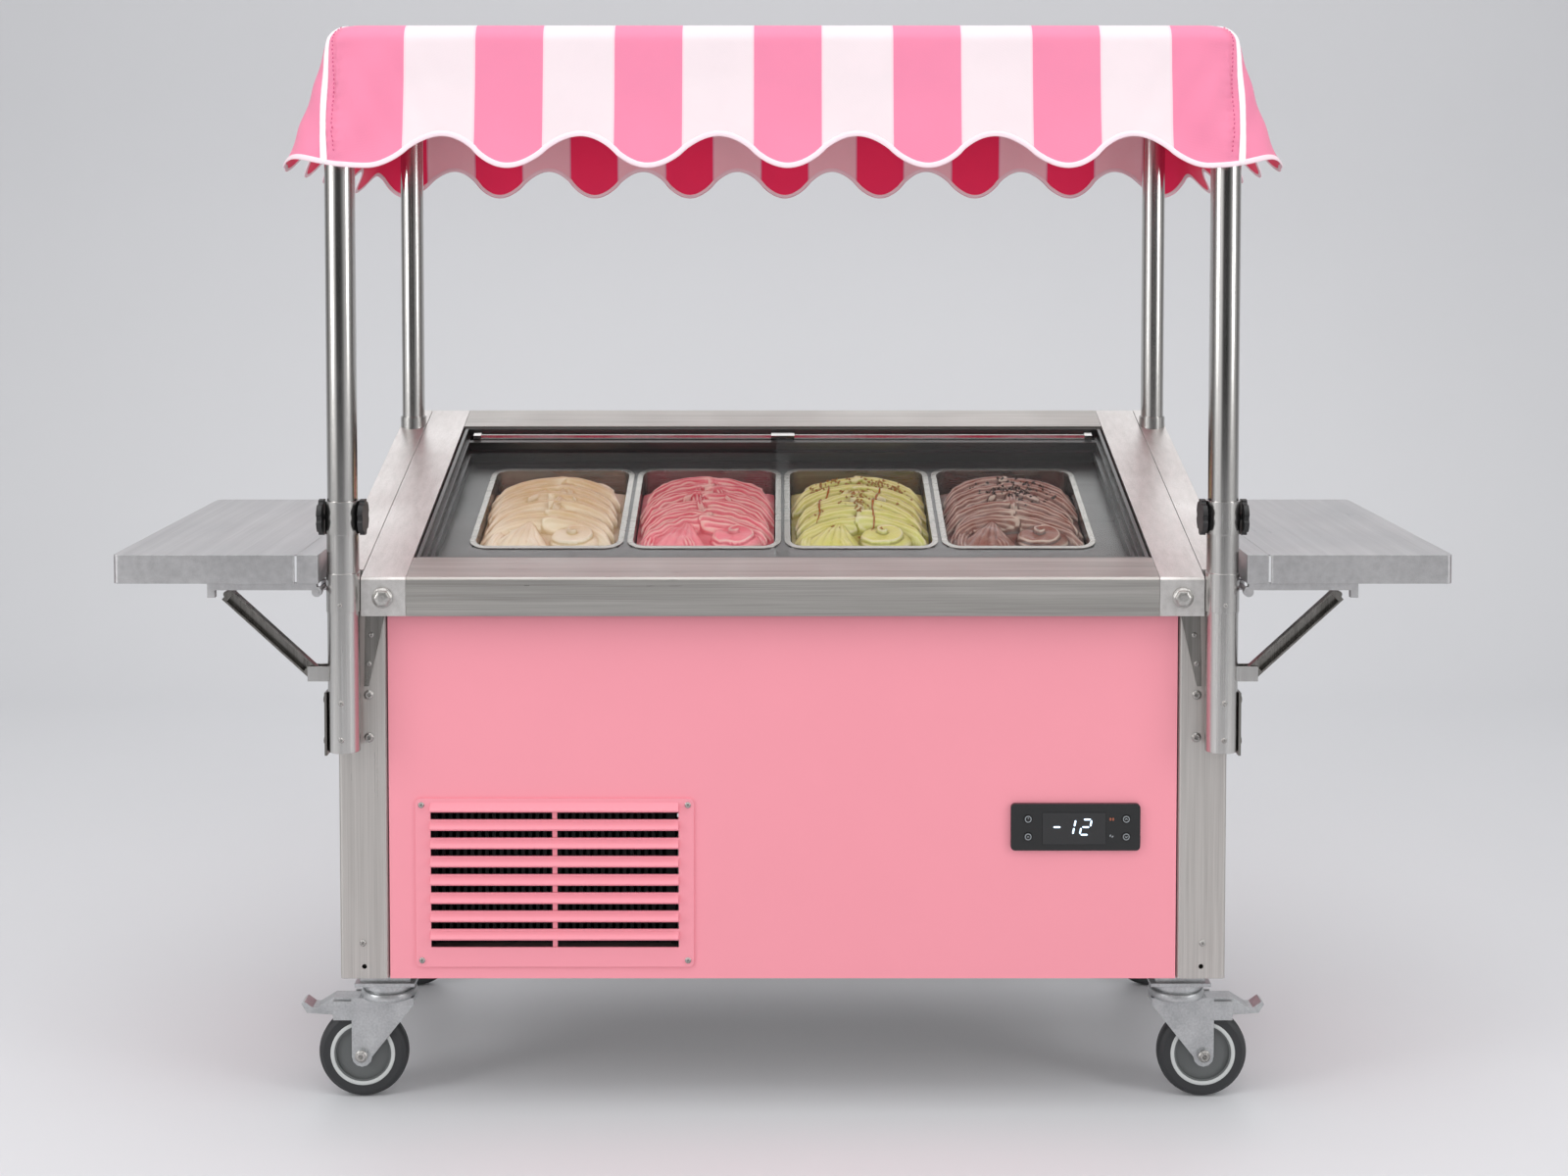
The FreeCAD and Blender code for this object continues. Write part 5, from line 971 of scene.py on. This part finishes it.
def make_digits():
    """Minus twelve in slanted seven-segment bars, 21 mm high."""
    shown = ((437, ("middle",)), (458, ("upper right", "lower right")),
             (484, ("top", "upper right", "middle", "lower left", "bottom")))
    bars = []
    for left, names in shown:
        for name in names:
            start, end = (np.array(point, float) for point in SEGMENTS[name])
            gap = (end - start) * 0.09
            start, end = start + gap, end - gap
            place = [(left + 14.5 * x + 2.6 * z, 472.5 + 12.5 * z) for x, z in (start, end)]
            bars.append(flat_bar(place[0], place[1], 1.35, -316.6))
    points, faces = joined(bars)
    return add_piece("lit_digits", points * MM, faces, "cart", lit("lit digits", shade(207, 232, 255), 1.6),
                     merge=True)


make_digits()
icon_grey = plain("printed icons", shade(150, 156, 160), 0.5, bevel=0.0)
icon_red = plain("printed warm icons", shade(150, 84, 62), 0.5, bevel=0.0)


def make_icons():
    """A printed ring and mark on each button, and two small marks beside the window."""
    for name, x, z in (("power", 400, 498), ("set", 400, 469), ("up", 560, 498), ("down", 560, 469)):
        parts = [turned(np.array([(4.2, 0), (4.2, 0.4), (5.4, 0.4), (5.4, 0), (4.2, 0)]), (x, -317, z), (0, -1, 0), 32)]
        marks = {"power": [((x, z + 0.5), (x, z + 3))], "set": [((x - 2, z), (x + 2, z))],
                 "up": [((x - 2, z - 1), (x, z + 1.6)), ((x, z + 1.6), (x + 2, z - 1))],
                 "down": [((x - 2, z + 1), (x, z - 1.6)), ((x, z - 1.6), (x + 2, z + 1))]}[name]
        parts += [flat_bar(a, b, 0.55, -317.0, 0.4) for a, b in marks]
        points, faces = joined(parts)
        add_piece("icon_" + name, points * MM, faces, "button_" + name, icon_grey, merge=True)
    warm = [flat_bar((534, 495), (534, 501), 1.6, -317.0, 0.4), flat_bar((538.5, 495), (538.5, 501), 1.6, -317.0, 0.4)]
    points, faces = joined(warm)
    add_piece("icon_frost", points * MM, faces, "cart", icon_red, merge=True)
    fan_marks = [flat_bar((533, 469), (535, 473), 1.0, -317.0, 0.4), flat_bar((536, 468), (539, 471), 1.0, -317.0, 0.4)]
    points, faces = joined(fan_marks)
    add_piece("icon_fan", points * MM, faces, "cart", icon_grey, merge=True)


make_icons()


# Studio: a pale sweep, a broad lamp overhead and softer ones at the sides
def make_studio():
    depth = np.concatenate([np.linspace(-7, 2.6, 20), 2.6 + 1.6 * np.sin(np.linspace(0.05, np.pi / 2, 24)),
                            np.full(8, 4.2)])
    height = np.concatenate([np.zeros(20), 1.6 * (1 - np.cos(np.linspace(0.05, np.pi / 2, 24))),
                             np.linspace(1.8, 6, 8)])
    across = np.linspace(-9, 9, 10)
    y, x = np.meshgrid(depth, across, indexing="ij")
    z = np.broadcast_to(height[:, None], x.shape)
    material, tree, shader = new_material("studio sweep")
    marks = node_in(tree, "ShaderNodeGroup", node_tree=SMUDGE)
    marks.inputs["Size"].default_value = 0.8
    tree.links.new(mix_in(tree, marks.outputs["Cloud"], shade(214, 215, 218), shade(220, 221, 224)),
                   shader.inputs["Base Color"])
    shader.inputs["Roughness"].default_value = 0.5
    mesh = bpy.data.meshes.new("sweep")
    mesh.from_pydata(np.stack([x, y, z], -1).reshape(-1, 3).tolist(), [],
                     [tuple(f) for f in grid_faces(len(depth), len(across)).tolist()])
    mesh.materials.append(material)
    mesh.polygons.foreach_set("use_smooth", np.full(len(mesh.polygons), True))
    floor = bpy.data.objects.new("studio_sweep", mesh)
    bpy.context.collection.objects.link(floor)


def lamp(name, place, target, size, power, shine=True, colour=(1, 1, 1)):
    data = bpy.data.lights.new(name, "AREA")
    data.shape, data.size, data.size_y, data.energy, data.color = "RECTANGLE", size[0], size[1], power, colour
    made = bpy.data.objects.new(name, data)
    made.location = place
    aim = np.array(target, float) - np.array(place, float)
    made.rotation_euler = Vector(aim).to_track_quat("-Z", "Y").to_euler()
    made.visible_camera = False
    made.visible_glossy = shine
    bpy.context.collection.objects.link(made)
    return made


def make_world():
    """Even pale light; mirror-like parts see a dark gap behind the camera between two bright side screens."""
    world = bpy.data.worlds.new("studio")
    bpy.context.scene.world = world
    world.use_nodes = True
    tree = world.node_tree
    back = tree.nodes["Background"]
    way = node_in(tree, "ShaderNodeTexCoord").outputs["Generated"]
    part = node_in(tree, "ShaderNodeSeparateXYZ", {0: way})
    up = range_in(tree, part.outputs[2], -0.4, 0.9, 0.62, 1.0)
    around = math_in(tree, "ARCTAN2", part.outputs[0], math_in(tree, "MULTIPLY", part.outputs[1], -1.0))
    bands = node_in(tree, "ShaderNodeValToRGB", {0: range_in(tree, around, -math.pi, math.pi, 0.0, 1.0)})
    ramp = bands.color_ramp
    stops = ((0.0, 0.45), (0.24, 0.35), (0.29, 1.5), (0.39, 1.7), (0.44, 0.10), (0.53, 0.07), (0.57, 0.30),
             (0.63, 1.15), (0.71, 1.1), (0.76, 0.35), (1.0, 0.45))
    while len(ramp.elements) < len(stops):
        ramp.elements.new(0.5)
    for element, (place, level) in zip(ramp.elements, stops):
        element.position, element.color = place, (level, level, level, 1.0)
    flat = node_in(tree, "ShaderNodeCombineColor", {0: up, 1: up, 2: up}).outputs[0]
    low = range_in(tree, part.outputs[2], 0.25, 0.6, 0.0, 1.0)
    seen = mix_in(tree, low, bands.outputs[0], flat)
    glossy = node_in(tree, "ShaderNodeLightPath").outputs["Is Glossy Ray"]
    tree.links.new(mix_in(tree, glossy, flat, seen), back.inputs["Color"])
    back.inputs["Strength"].default_value = 0.62


make_studio()
lamp("overhead", (0, -1.2, 4.4), (0, 0, 0.8), (5.0, 3.0), 92)
lamp("left window", (-3.8, -2.4, 2.2), (0, 0, 0.8), (1.4, 2.6), 52)
lamp("right window", (3.8, -2.4, 2.2), (0, 0, 0.8), (1.4, 2.6), 46)
lamp("front fill", (0, -5.4, 1.9), (0, 0, 0.9), (3.4, 1.6), 44, shine=False)
lamp("back wash", (0, 2.9, 3.4), (0, 0, 0.9), (4.5, 1.6), 24)
make_world()
